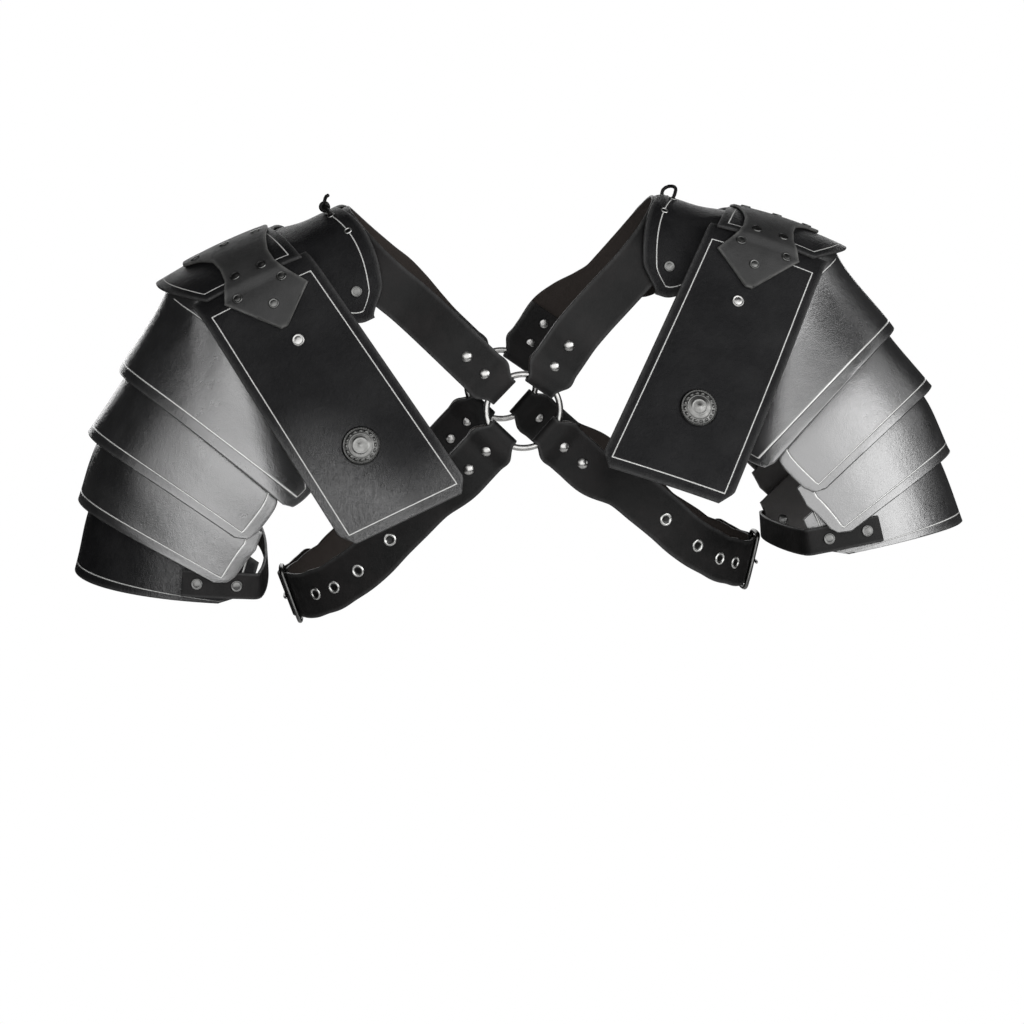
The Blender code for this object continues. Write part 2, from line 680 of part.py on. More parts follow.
def lower_strap_line():
    """Outer line of the lower strap on the torso, from the ring to the side."""
    rows = [(row["reach"] * TORSO_HALF_WIDTH, RING_HEIGHT - LAME_DROP * row["height"])
            for row in LOWER_PATH]
    return np.array(rows)


def torso_point(angle, height):
    """Point on the torso, an ellipse that narrows downward; angle is 0 in front."""
    below = RING_HEIGHT - LAME_DROP * LOWER_PATH[-1]["height"] - height
    reach = (TORSO_HALF_WIDTH - TORSO_TAPER * below) * np.sin(angle)
    return np.stack([reach, -CHEST_HALF_DEPTH * np.cos(angle), height + 0.0 * angle], axis=-1)


def torso_normal(angle):
    """Outward direction of the torso."""
    return unit(np.stack([np.sin(angle) / TORSO_HALF_WIDTH, -np.cos(angle) / CHEST_HALF_DEPTH,
                          -TORSO_TAPER * np.sin(angle) ** 2 / TORSO_HALF_WIDTH], axis=-1))


def lower_height(angle):
    """Height of the lower strap's middle at an angle round the torso."""
    line = lower_strap_line()
    angles = np.arcsin(np.clip(line[:, 0] / TORSO_HALF_WIDTH, 0.0, 1.0))
    return np.interp(np.minimum(angle, math.pi - angle), angles, line[:, 1])


def buckle_layers():
    """Offsets from the torso line: back strap, heel bar, and front strap over it."""
    back = STRAP_THICKNESS / 2.0
    bar = STRAP_THICKNESS + CLEARANCE + BUCKLE_WIRE
    over = STRAP_THICKNESS + CLEARANCE + 2.0 * BUCKLE_WIRE + CLEARANCE + STRAP_THICKNESS / 2.0
    return back, bar, over


def front_strap_path(side):
    """Mid line of the lower front strap, from its fold through the buckle to its tip."""
    points, normals, widths = fold_on_chest(-side["fall"])
    heel, front, _size = buckle_angles()
    tip = BUCKLE_ANGLE + STRAP_TIP / CHEST_HALF_DEPTH
    angles = np.concatenate([np.linspace(TORSO_START, front + 0.02, 12),
                             np.linspace(front + 0.02, heel - 0.03, 5)[1:],
                             np.linspace(heel - 0.03, tip, 6)[1:]])
    back, _bar, over = buckle_layers()
    rise = smooth((angles - front - 0.02) / (heel - front - 0.05))
    offset = back + (over - back) * rise
    path = torso_point(angles, lower_height(angles))
    path = path + torso_normal(angles) * offset[:, None]
    width = np.concatenate([widths, np.full(len(angles), STRAP_WIDTH)])
    width[-1] = STRAP_WIDTH * 0.35
    return (np.concatenate([points, path]), np.concatenate([normals, torso_normal(angles)]),
            width)


def buckle_angles():
    """Angles of the heel bar and the front bar round the torso, and the bars' distance."""
    heel = BUCKLE_ANGLE + 0.02
    return heel, heel - BUCKLE_LENGTH / CHEST_HALF_DEPTH, BUCKLE_LENGTH


def back_strap_path(side, steps=14):
    """Mid line of the lower back strap, from the back fold to its end under the buckle."""
    points, normals, widths = fold_on_chest(-side["fall"])
    angles = np.linspace(math.pi - TORSO_START, BUCKLE_ANGLE - 0.02, steps)
    path = torso_point(angles, lower_height(angles))
    path = path + torso_normal(angles) * STRAP_THICKNESS / 2.0
    full = np.concatenate([mirrored(points, 1.0, back=True), path])
    facing = np.concatenate([mirrored(normals, 1.0, back=True), torso_normal(angles)])
    return full, facing, np.concatenate([widths, np.full(steps, STRAP_WIDTH)])


def buckle_path(side, per_side=5):
    """Closed wire line of the side buckle, heel bar low and front bar over the strap."""
    _back, bar, _over = buckle_layers()
    high = STRAP_THICKNESS + CLEARANCE * 3.0 + BUCKLE_WIRE
    half = STRAP_WIDTH / 2.0 + BUCKLE_WIRE + CLEARANCE + BUCKLE_PLAY / 2.0
    heel, front, size = buckle_angles()
    angles = np.array([heel, front])
    heights = lower_height(angles)
    places = torso_point(angles, heights) + torso_normal(angles) * np.array([[bar], [high]])
    along = unit(places[1] - places[0])
    facing = torso_normal(np.array([(heel + front) / 2.0]))[0]
    up = unit(np.cross(along, facing))
    corner = 0.004
    outline = []
    for centre, sign in (((size - corner), 1.0), (corner, -1.0)):
        for vertical in (sign, -sign):
            for step in range(per_side):
                turn = step / (per_side - 1.0) * math.pi / 2.0
                if (sign > 0.0) == (vertical > 0.0):
                    turn = math.pi / 2.0 - turn
                outline.append((centre + sign * corner * math.cos(turn),
                                vertical * (half - corner + corner * math.sin(turn))))
    path = np.array([places[0] + along * place + up * height for place, height in outline])
    return mirrored(path, side["hand"])


def ring_path(segments, back):
    """Circle of the harness ring."""
    turns = np.linspace(0.0, 2.0 * math.pi, segments, endpoint=False)
    depth = CHEST_HALF_DEPTH if back else -CHEST_HALF_DEPTH
    return np.stack([RING_RADIUS * np.cos(turns), np.full(segments, depth),
                     RING_HEIGHT + RING_RADIUS * np.sin(turns)], axis=-1)


def arm_strap_path(side, steps=12):
    """Mid line of the arm strap, from its tab on the last lame round the inside of the arm."""
    last = len(LAMES) - 1
    wrap = math.radians(LAMES[last]["wrap_top"])
    reach = ARM_STRAP_TAB / (ARM_HALF_DEPTH * LAMES[last]["depth"])
    angles = np.linspace(wrap - reach, wrap + 0.03, 6)
    shares = level_shares(last, angles, ARM_STRAP_HEIGHT)
    lift = CLEARANCE * 4.0 + STRAP_THICKNESS / 2.0
    facing = lame_normal(last, angles, shares)
    outer = lame_point(last, angles, shares) + lift * facing
    inner_facing = lame_normal(last, -angles[::-1], shares[::-1])
    inner = lame_point(last, -angles[::-1], shares[::-1]) + lift * inner_facing
    span = float(inner[0][1] - outer[-1][1])
    leave = np.array([-ARM_STRAP_BULGE * 4.0, span * 0.4, 0.0])
    arrive = np.array([ARM_STRAP_BULGE * 4.0, span * 0.4, 0.0])
    shares = np.linspace(0.0, 1.0, steps + 2)[1:-1, None]
    middle = hermite(outer[-1], inner[0], leave, arrive, shares)
    along = unit(np.gradient(np.concatenate([outer[-1:], middle, inner[:1]]), axis=0))[1:-1]
    up = np.array([0.0, 0.0, 1.0])
    across = unit(np.cross(along, up))
    middle_facing = across * (1.0 if float(across[len(across) // 2][0]) < 0.0 else -1.0)
    path = np.concatenate([outer, middle, inner])
    normals = np.concatenate([facing, middle_facing, inner_facing])
    placed = rest_on_side(path, side)
    return placed, unit(rest_on_side(path + normals * 0.01, side) - placed)


def lathe(name, profile, segments, frame, material):
    """Turn a profile of radius and height round a placed axis."""
    centre, axis, first, second = frame
    turns = np.linspace(0.0, 2.0 * math.pi, segments, endpoint=False)
    points = [centre + axis * profile[0][1]]
    for radius, height in profile[1:-1]:
        for turn in turns:
            points.append(centre + axis * height
                          + radius * (first * math.cos(turn) + second * math.sin(turn)))
    points.append(centre + axis * profile[-1][1])
    faces = []
    for side in range(segments):
        faces.append((0, 1 + side, 1 + (side + 1) % segments))
    for ring in range(len(profile) - 3):
        base = 1 + ring * segments
        for side in range(segments):
            beside = (side + 1) % segments
            faces.append((base + side, base + segments + side,
                          base + segments + beside, base + beside))
    base = 1 + (len(profile) - 3) * segments
    for side in range(segments):
        faces.append((base + side, len(points) - 1, base + (side + 1) % segments))
    return add_node(name, points, faces, material)


def surface_frame(side, across, length, offset):
    """Place and directions on the shared surface, for parts that sit on it."""
    small = 1e-3
    centre = rest_on_side(shoulder(np.array(across), np.array(length), offset), side)
    above = rest_on_side(shoulder(np.array(across), np.array(length), offset + small), side)
    beside = rest_on_side(shoulder(np.array(across + small), np.array(length), offset), side)
    axis = unit(above - centre)
    first = unit(beside - centre)
    return centre, axis, first, np.cross(axis, first)


def add_concho(side, material):
    """Domed round ornament with a rim on the chest plate."""
    length = SADDLE_HALF_LENGTH + BEND_LENGTH + CONCHO_PLACE
    frame = surface_frame(side, float(plate_axis(length)), length, CHEST_OFFSET)
    radius = CONCHO_DIAMETER / 2.0
    base = CLEARANCE
    high = CONCHO_HEIGHT
    profile = [(0.0, base), (radius * 0.97, base), (radius, base + high * 0.18),
               (radius * 0.97, base + high * 0.36), (radius * 0.80, base + high * 0.30),
               (radius * 0.62, base + high * 0.55), (radius * 0.34, base + high * 0.88),
               (0.0, base + high)]
    return lathe("concho_" + side["name"], profile, 20, frame, material)


def add_lace(side, material):
    """Leather lace over the cap's neck edge with its short end standing up."""
    radius = LACE_DIAMETER / 2.0
    lift = radius + CLEARANCE
    first = neck(np.array([-0.043, -0.046, -0.049]), np.array([0.30, 0.22, 0.12]), lift)
    top = neck(np.array([-0.050, -0.050]), np.array([0.03, -0.03]), lift)
    stub = neck(np.array([-0.049, -0.047]), np.array([-0.05, -0.05]),
                np.array([lift + LACE_STUB * 0.5, lift + LACE_STUB]))
    path = rest_on_side(np.concatenate([first, top, stub]), side)
    return tube("lace_" + side["name"], path, radius, 6, material)


def build():
    """Make every piece of the armour."""
    clear_scene()
    black = leather("black_leather", (0.012, 0.012, 0.013), 0.32)
    strap_leather = leather("strap_leather", (0.016, 0.015, 0.015), 0.42)
    nickel = steel("nickel_steel", 0.18)
    silver = steel("concho_silver", 0.30)

    for side in SIDES:
        name = side["name"]
        grids = {
            "shoulder_cap": cap_grid(5, 21),
            "saddle_plate": saddle_grid(5),
            "connector": connector_grid(4),
            "chest_plate": chest_grid(5),
        }
        for piece, grid in grids.items():
            placed = rest_on_side(grid, side)
            wall(piece + "_" + name, placed, outward(placed, side, INSIDE), LEATHER, black)
        for index in range(len(LAMES)):
            grid, _normals = lame_grid(index, SEGMENTS["lame_around"], SEGMENTS["lame_down"])
            placed = rest_on_side(grid, side)
            wall("arm_lame_%d_%s" % (index + 1, name), placed,
                 outward(placed, side, INSIDE), LEATHER, black)

        path, facing, width = over_strap_path(side)
        ribbon("over_strap_" + name, mirrored(path, side["hand"]),
               mirrored(facing, side["hand"]), width, STRAP_THICKNESS, strap_leather)

        path, facing, width = front_strap_path(side)
        ribbon("front_strap_" + name, mirrored(path, side["hand"]),
               mirrored(facing, side["hand"]), width, STRAP_THICKNESS, strap_leather)
        path, facing, width = back_strap_path(side)
        ribbon("back_strap_" + name, mirrored(path, side["hand"]),
               mirrored(facing, side["hand"]), width, STRAP_THICKNESS, strap_leather)
        tube("side_buckle_" + name, buckle_path(side), BUCKLE_WIRE, SEGMENTS["wire"],
             nickel, closed=True)

        path, facing = arm_strap_path(side)
        ribbon("arm_strap_" + name, path, facing, np.full(len(path), ARM_STRAP_WIDTH),
               STRAP_THICKNESS, strap_leather)
        add_concho(side, silver)
        add_lace(side, strap_leather)

    tube("front_ring", ring_path(SEGMENTS["ring"], False), RING_WIRE, SEGMENTS["wire"],
         nickel, closed=True)
    tube("back_ring", ring_path(SEGMENTS["ring"], True), RING_WIRE, SEGMENTS["wire"],
         nickel, closed=True)


build()
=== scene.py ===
import logging
import math
from dataclasses import dataclass, field
from enum import Enum
from typing import Callable, Optional, Sequence

import bpy
import numpy as np
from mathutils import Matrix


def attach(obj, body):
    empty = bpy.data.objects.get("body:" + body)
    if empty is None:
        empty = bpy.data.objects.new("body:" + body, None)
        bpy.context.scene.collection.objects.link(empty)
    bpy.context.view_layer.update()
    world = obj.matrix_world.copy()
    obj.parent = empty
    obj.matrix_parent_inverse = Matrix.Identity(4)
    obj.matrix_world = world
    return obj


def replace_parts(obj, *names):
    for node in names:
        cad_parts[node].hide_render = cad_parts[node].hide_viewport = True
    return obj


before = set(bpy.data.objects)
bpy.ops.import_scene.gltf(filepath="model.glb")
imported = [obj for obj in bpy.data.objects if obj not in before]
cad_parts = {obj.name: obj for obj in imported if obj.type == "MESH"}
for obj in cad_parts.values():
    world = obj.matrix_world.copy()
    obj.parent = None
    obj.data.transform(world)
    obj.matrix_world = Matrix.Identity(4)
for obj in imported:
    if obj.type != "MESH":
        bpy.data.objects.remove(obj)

Array = np.ndarray
log = logging.getLogger("pauldrons")


@dataclass(frozen=True)
class Sit:
    """How one pauldron sits: its hand, lift, forward pitch and strap angles."""

    name: str
    hand: float
    lift: float
    pitch: float
    rise: float
    fall: float
    drift: float


class Side(Enum):
    """The two sides, as a viewer who faces the front sees them."""

    LEFT = Sit("left", -1.0, 0.0035, 3.5, 47.5, 43.0, 1.0)
    RIGHT = Sit("right", 1.0, -0.0035, -5.0, 52.0, 45.0, 0.95)


def smooth(value: Array) -> Array:
    """Ease from 0 to 1 with level ends."""
    value = np.clip(value, 0.0, 1.0)
    return value * value * (3.0 - 2.0 * value)


def unit(vectors: Array) -> Array:
    """Scale vectors to length one."""
    return vectors / np.maximum(np.linalg.norm(vectors, axis=-1, keepdims=True), 1e-12)


def hermite(start: Array, end: Array, leave: Array, arrive: Array, share: Array) -> Array:
    """Cubic from start to end with given end directions.

    Args:
        start: First point.
        end: Last point.
        leave: Direction and pull at the first point.
        arrive: Direction and pull at the last point.
        share: Place along the curve, 0 to 1.

    Returns:
        The points: the four Hermite cubics weigh the two ends and their pulls.
    """
    s2, s3 = share * share, share ** 3
    return (start * (2.0 * s3 - 3.0 * s2 + 1.0) + leave * (s3 - 2.0 * s2 + share)
            + end * (3.0 * s2 - 2.0 * s3) + arrive * (s3 - s2))


def spaced(start: float, end: float, step: float, marks: Sequence[float] = (),
           fine: float = 0.0003, reach: float = 0.0012) -> Array:
    """Places from start to end at about one step, closer together round the marks.

    Args:
        start: First place.
        end: Last place.
        step: Usual distance between places.
        marks: Places that get closer neighbours.
        fine: Distance between neighbours round a mark.
        reach: How far round a mark they go.

    Returns:
        Sorted places, the ends among them.
    """
    inside = [mark for mark in marks if start < mark < end]
    close = [np.arange(mark - reach, mark + reach + fine / 2.0, fine) for mark in inside]
    coarse = np.linspace(start, end, max(int(round((end - start) / step)), 2) + 1)
    for mark in inside:
        coarse = coarse[np.abs(coarse - mark) > reach + step * 0.4]
    every = np.concatenate([coarse, *close, [start, end]])
    every = np.unique(np.round(every[(every >= start) & (every <= end)], 7))
    keep = np.concatenate([[True], np.diff(every) > fine * 0.6])
    every = every[keep]
    every[-1] = end
    return every


def signed_volume(points: Array, faces: Array) -> float:
    """Volume of a closed mesh of quads, negative when its faces point inward."""
    a, b, c, d = (points[faces[:, corner]] for corner in range(4))
    first = np.einsum("ij,ij->i", a, np.cross(b, c)).sum()
    return float(first + np.einsum("ij,ij->i", a, np.cross(c, d)).sum()) / 6.0


def add_piece(name: str, points: Array, faces: Array, material: bpy.types.Material,
              marks: Optional[dict[str, Array]] = None) -> bpy.types.Object:
    """Put a closed mesh of quads into the scene, shaded smooth, riding on the armour.

    Args:
        name: Name of the piece.
        points: Vertices, one a row.
        faces: Four vertex numbers a row; a triangle repeats its last one.
        material: Finish of the piece.
        marks: Numbers for each vertex that the material reads, by name.

    Returns:
        The new object, at the origin with its place in its mesh.
    """
    points = np.asarray(points, dtype=float).reshape(-1, 3)
    faces = np.asarray(faces, dtype=np.int64).reshape(-1, 4)
    if signed_volume(points, faces) < 0.0:
        faces = faces[:, ::-1]
    triangle = (faces[:, 3] == faces[:, 2]) | (faces[:, 0] == faces[:, 1])
    rows = [list(dict.fromkeys(face)) if flat else face
            for face, flat in zip(faces.tolist(), triangle.tolist())]
    mesh = bpy.data.meshes.new(name)
    mesh.from_pydata(points.tolist(), [], rows)
    for mark, values in (marks or {}).items():
        layer = mesh.attributes.new(mark, "FLOAT", "POINT")
        layer.data.foreach_set("value", np.asarray(values, dtype=np.float32).ravel())
    mesh.polygons.foreach_set("use_smooth", [True] * len(mesh.polygons))
    mesh.materials.append(material)
    mesh.update()
    piece = bpy.data.objects.new(name, mesh)
    bpy.context.scene.collection.objects.link(piece)
    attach(piece, "root")
    log.info("%s: %d faces", name, len(mesh.polygons))
    return piece


def grid_faces(rows: int, columns: int, wrap: bool = False, start: int = 0) -> Array:
    """Quads of a grid of vertices, closed across its columns if wrap is set."""
    down, over = np.meshgrid(np.arange(rows - 1), np.arange(columns if wrap else columns - 1),
                             indexing="ij")
    beside = (over + 1) % columns
    quads = [down * columns + over, down * columns + beside,
             (down + 1) * columns + beside, (down + 1) * columns + over]
    return np.stack(quads, axis=-1).reshape(-1, 4) + start


def grid_normals(points: Array) -> Array:
    """Unit normals of a grid, its row direction crossed with its column direction."""
    return unit(np.cross(np.gradient(points, axis=0), np.gradient(points, axis=1)))


def rolling(points: Array, size: float, seed: float) -> Array:
    """Slow waves of hand-formed leather: three sines of the place, in three directions."""
    x, y, z = points[..., 0], points[..., 1], points[..., 2]
    wave = (np.sin(x * 71.0 + y * 53.0 + seed) + np.sin(y * 97.0 - z * 64.0 + seed * 2.1)
            + 0.6 * np.sin(x * 160.0 + z * 121.0 + seed * 3.7))
    return wave * size / 2.6


@dataclass
class Panel:
    """A cut leather panel: an outer face, an even wall and a rounded, burnished rim.

    The face is a grid of points. The inner face is the outer one moved in along its
    normals, and a half round of rings joins the two along the border.
    """

    name: str
    face: Array
    material: bpy.types.Material
    toward: Array
    thickness: float = 0.0030
    line: Optional[Array] = None
    line_depth: float = 0.0006
    wave: float = 0.0003
    rim_rings: int = 6
    rim_reach: float = 0.0010
    grown: Optional[Array] = None
    # Share of coat on the outer face that paints a sheen where a highlight is wanted.
    polish: Optional[Array] = None

    def normals(self) -> Array:
        """Unit normals that point away from the arm."""
        normals = grid_normals(self.face)
        if float((normals * (self.face - self.toward)).sum()) < 0.0:
            normals = -normals
        return normals

    def build(self) -> bpy.types.Object:
        """Make the mesh: outer grid, rim rings and inner grid in one closed surface."""
        normals = self.normals()
        rows, columns = self.face.shape[:2]
        line = np.zeros((rows, columns)) if self.line is None else self.line
        fade = self.border_fade(rows, columns)
        outer = self.face + normals * (rolling(self.face, self.wave, float(len(self.name)))
                                       * fade)[..., None]
        if self.grown is not None:
            outer = outer + normals * self.grown[..., None]
        border = self.border(rows, columns)
        flat, face_normals = outer.reshape(-1, 3).copy(), normals.reshape(-1, 3)
        edge, edge_normals = flat[border], face_normals[border]
        along = unit(np.roll(edge, -1, axis=0) - np.roll(edge, 1, axis=0))
        out = unit(np.cross(along, edge_normals))
        middle = flat.mean(axis=0)
        if float((out * (edge - middle)).sum()) < 0.0:
            out = -out
        flat[border] = edge - out * self.rim_reach
        inner = flat - face_normals * self.thickness
        flat = flat - face_normals * (line.reshape(-1, 1) * self.line_depth)
        turns = np.linspace(0.0, math.pi, self.rim_rings + 2)[1:-1, None, None]
        centre = flat[border] - edge_normals * self.thickness / 2.0
        rings = (centre + edge_normals * np.cos(turns) * self.thickness / 2.0
                 + out * np.sin(turns) * self.rim_reach)
        count, around = rows * columns, len(border)
        points = np.concatenate([flat, inner, rings.reshape(-1, 3)])
        outer_faces = grid_faces(rows, columns)
        faces = [outer_faces, outer_faces[:, ::-1] + count]
        levels = [border] + [count * 2 + around * ring + np.arange(around)
                             for ring in range(self.rim_rings)] + [border + count]
        for above, below in zip(levels[:-1], levels[1:]):
            faces.append(np.stack([np.roll(above, -1), above, below, np.roll(below, -1)], axis=1))
        rim = np.concatenate([1.0 - fade.ravel(), 1.0 - fade.ravel(), np.ones(around * self.rim_rings)])
        inside = np.concatenate([np.zeros(count), np.ones(count),
                                 np.repeat(np.linspace(0.15, 0.85, self.rim_rings), around)])
        shown = np.concatenate([line.ravel(), np.zeros(count + around * self.rim_rings)])
        # Painted sheen: the satin finish lays its coat where this mark is high.
        sheen_weight = np.zeros(len(points))
        if self.polish is not None:
            sheen_weight[:count] = self.polish.ravel()
        return add_piece(self.name, points, np.concatenate(faces), self.material,
                         {"rim": rim, "inside": inside, "line": shown, "polish": sheen_weight})

    def border_fade(self, rows: int, columns: int) -> Array:
        """One in the middle of the panel, zero on its border, over the last 4 mm."""
        steps_down = np.linalg.norm(np.diff(self.face, axis=0), axis=-1)
        steps_over = np.linalg.norm(np.diff(self.face, axis=1), axis=-1)
        down = np.concatenate([np.zeros((1, columns)), np.cumsum(steps_down, axis=0)])
        over = np.concatenate([np.zeros((rows, 1)), np.cumsum(steps_over, axis=1)], axis=1)
        away = np.minimum(np.minimum(down, down[-1:] - down), np.minimum(over, over[:, -1:] - over))
        return smooth(away / 0.004)

    @staticmethod
    def border(rows: int, columns: int) -> Array:
        """Vertex numbers round the border of a grid, in order."""
        top = np.arange(columns)
        right = np.arange(1, rows) * columns + columns - 1
        bottom = (rows - 1) * columns + np.arange(columns - 2, -1, -1)
        left = np.arange(rows - 2, 0, -1) * columns
        return np.concatenate([top, right, bottom, left])


def box_distance(over: Array, along: Array) -> Array:
    """Distance to the outline of a box, from how far each place is past its sides.

    Outside, it is the length of the two overshoots; inside, the nearer side.
    """
    outside = np.hypot(np.maximum(over, 0.0), np.maximum(along, 0.0))
    return np.abs(outside + np.minimum(np.maximum(over, along), 0.0))


def tooled(distance: Array, width: float = 0.0012) -> Array:
    """Depth share of a tooled line: one in its middle, easing to zero at its sides."""
    return smooth((width / 2.0 - distance) / (width * 0.30))


def edge_columns(low: Array, high: Array, inset: float, step: float, cut: Array) -> Array:
    """Columns of a panel that keep their distance from its two side edges.

    Args:
        low: Place of the one edge on each row.
        high: Place of the other edge on each row.
        inset: Distance of the tooled line from each edge.
        step: Usual distance between columns.
        cut: How far a corner cut moves both edges in on each row.

    Returns:
        Places across, one row of columns for each row of the panel.
    """
    depth = inset + 0.0030
    near = spaced(0.0, depth, step, (inset,))
    share = np.linspace(0.0, 1.0, max(int((high - low).mean() / step), 4))[1:-1]
    bend = np.maximum(inset - 0.0016, cut + 0.0022)[:, None]
    moved = np.where(near < bend, cut[:, None] + near * (bend - cut[:, None]) / bend, near)
    start, end = low[:, None] + moved, high[:, None] - moved
    middle = start[:, -1:] + (end[:, -1:] - start[:, -1:]) * share
    return np.concatenate([start, middle, end[:, ::-1]], axis=1)


@dataclass
class ShoulderForm:
    """The surfaces that the plates of one shoulder share, with the armour's own sizes.

    A place on them is a distance across, outward along the tilted ridge, and a
    length from the ridge, forward and down.
    """

    leather: float = 0.0030
    clearance: float = 0.0003
    start_reach: float = 0.197
    start_height: float = -0.013
    tilt: float = math.radians(22.0)
    saddle_width: float = 0.1075
    saddle_half: float = 0.077
    bend: float = 0.026
    chest_length: float = 0.212
    turns: tuple[float, float, float] = (37.0, 64.0, 75.0)
    chest_centres: tuple[float, float] = (0.0265, -0.004)
    crown: float = 0.450
    neck_radius: float = 0.075
    neck_drop: float = 0.0105
    arc_turn: float = math.radians(80.0)
    skirt: float = 0.025
    cap_reach: float = 0.0575
    stations: Array = field(init=False)
    headings: Array = field(init=False)
    forward: Array = field(init=False)
    drop: Array = field(init=False)

    def __post_init__(self) -> None:
        """Work out the front-to-back line by adding up short steps along its heading."""
        self.reach = self.saddle_half + self.bend + self.chest_length
        self.stations = np.linspace(0.0, self.reach, 1200)
        self.headings = np.radians(np.interp(
            self.stations, (0.0, self.saddle_half, self.saddle_half + self.bend, self.reach),
            (0.0, *self.turns)))
        step, middle = self.stations[1], (self.headings[1:] + self.headings[:-1]) / 2.0
        self.forward = np.concatenate([[0.0], np.cumsum(np.cos(middle) * step)])
        self.drop = np.concatenate([[0.0], np.cumsum(np.sin(middle) * step)])
        self.cap_full = self.neck_radius * self.arc_turn + self.skirt
        self.chest_offset = -self.leather - self.clearance
        self.cap_offset = -2.0 * (self.leather + self.clearance) - self.clearance

    def axis(self, length: Array) -> Array:
        """Outward place of the middle of the plates at a length from the ridge."""
        return np.interp(np.abs(length),
                         (0.0, self.saddle_half, self.saddle_half + self.bend, self.reach),
                         (self.saddle_width / 2.0, self.chest_centres[0] + 0.004,
                          *self.chest_centres))

    def to_side(self, across: Array, forward: Array, rise: Array) -> Array:
        """Turn places along the ridge, forward and up into reach, Y and height."""
        across, forward, rise = np.broadcast_arrays(across, forward, rise)
        reach = self.start_reach + across * math.cos(self.tilt) + rise * math.sin(self.tilt)
        height = self.start_height - across * math.sin(self.tilt) + rise * math.cos(self.tilt)
        return np.stack([reach, -forward, height], axis=-1)

    def shoulder(self, across: Array, length: Array, offset: Array) -> Array:
        """Points of the plates' shared surface.

        The front-to-back line is carried across, sunk by the crown (the square of the
        distance from the middle over twice its radius) and moved along its normal.
        """
        away, sign = np.abs(length), np.where(np.asarray(length) < 0.0, -1.0, 1.0)
        forward = np.interp(away, self.stations, self.forward) * sign
        drop = np.interp(away, self.stations, self.drop)
        heading = np.interp(away, self.stations, self.headings)
        depth = offset - (across - self.axis(length)) ** 2 / (2.0 * self.crown)
        return self.to_side(across, forward + sign * np.sin(heading) * depth,
                            -drop + np.cos(heading) * depth)

    def neck(self, across: Array, share: Array, offset: Array) -> Array:
        """Points of the neck-side arch: a part circle with a straight skirt at its ends."""
        arc = self.neck_radius * self.arc_turn
        away, sign = np.abs(share) * self.cap_full, np.where(np.asarray(share) < 0.0, -1.0, 1.0)
        angle, rest = np.minimum(away / self.neck_radius, self.arc_turn), np.maximum(away - arc, 0.0)
        radius = self.neck_radius + offset
        forward = radius * np.sin(angle) + rest * math.cos(self.arc_turn)
        rise = (radius * np.cos(angle) - self.neck_radius - rest * math.sin(self.arc_turn)
                - self.neck_drop)
        return self.to_side(across, forward * sign, rise)

    def rest(self, points: Array, sit: Sit) -> Array:
        """Put points on their side, pitched about the middle of the neck arch."""
        centre = self.to_side(-self.cap_reach, 0.0, -self.neck_radius - self.neck_drop)
        angle = math.radians(sit.pitch)
        y, z = points[..., 1] - centre[1], points[..., 2] - centre[2]
        return np.stack([points[..., 0] * sit.hand,
                         y * math.cos(angle) - z * math.sin(angle) + centre[1],
                         z * math.cos(angle) + y * math.sin(angle) + centre[2] + sit.lift],
                        axis=-1)

    def inside(self, sit: Sit) -> Array:
        """A place inside the arm, which every plate's face looks away from."""
        return self.rest(np.array([self.start_reach + 0.03, 0.0, -0.2]), sit)

    def frame_at(self, sit: Sit, across: float, length: float, offset: float) -> Array:
        """Centre, normal and two directions of the shared surface at one place, as rows."""
        small = 1e-3
        spots = self.rest(self.shoulder(np.array([across, across, across + small]),
                                        np.array([length] * 3),
                                        np.array([offset, offset + small, offset])), sit)
        normal, first = unit(spots[1] - spots[0]), unit(spots[2] - spots[0])
        return np.stack([spots[0], normal, first, np.cross(normal, first)])


FORM = ShoulderForm()


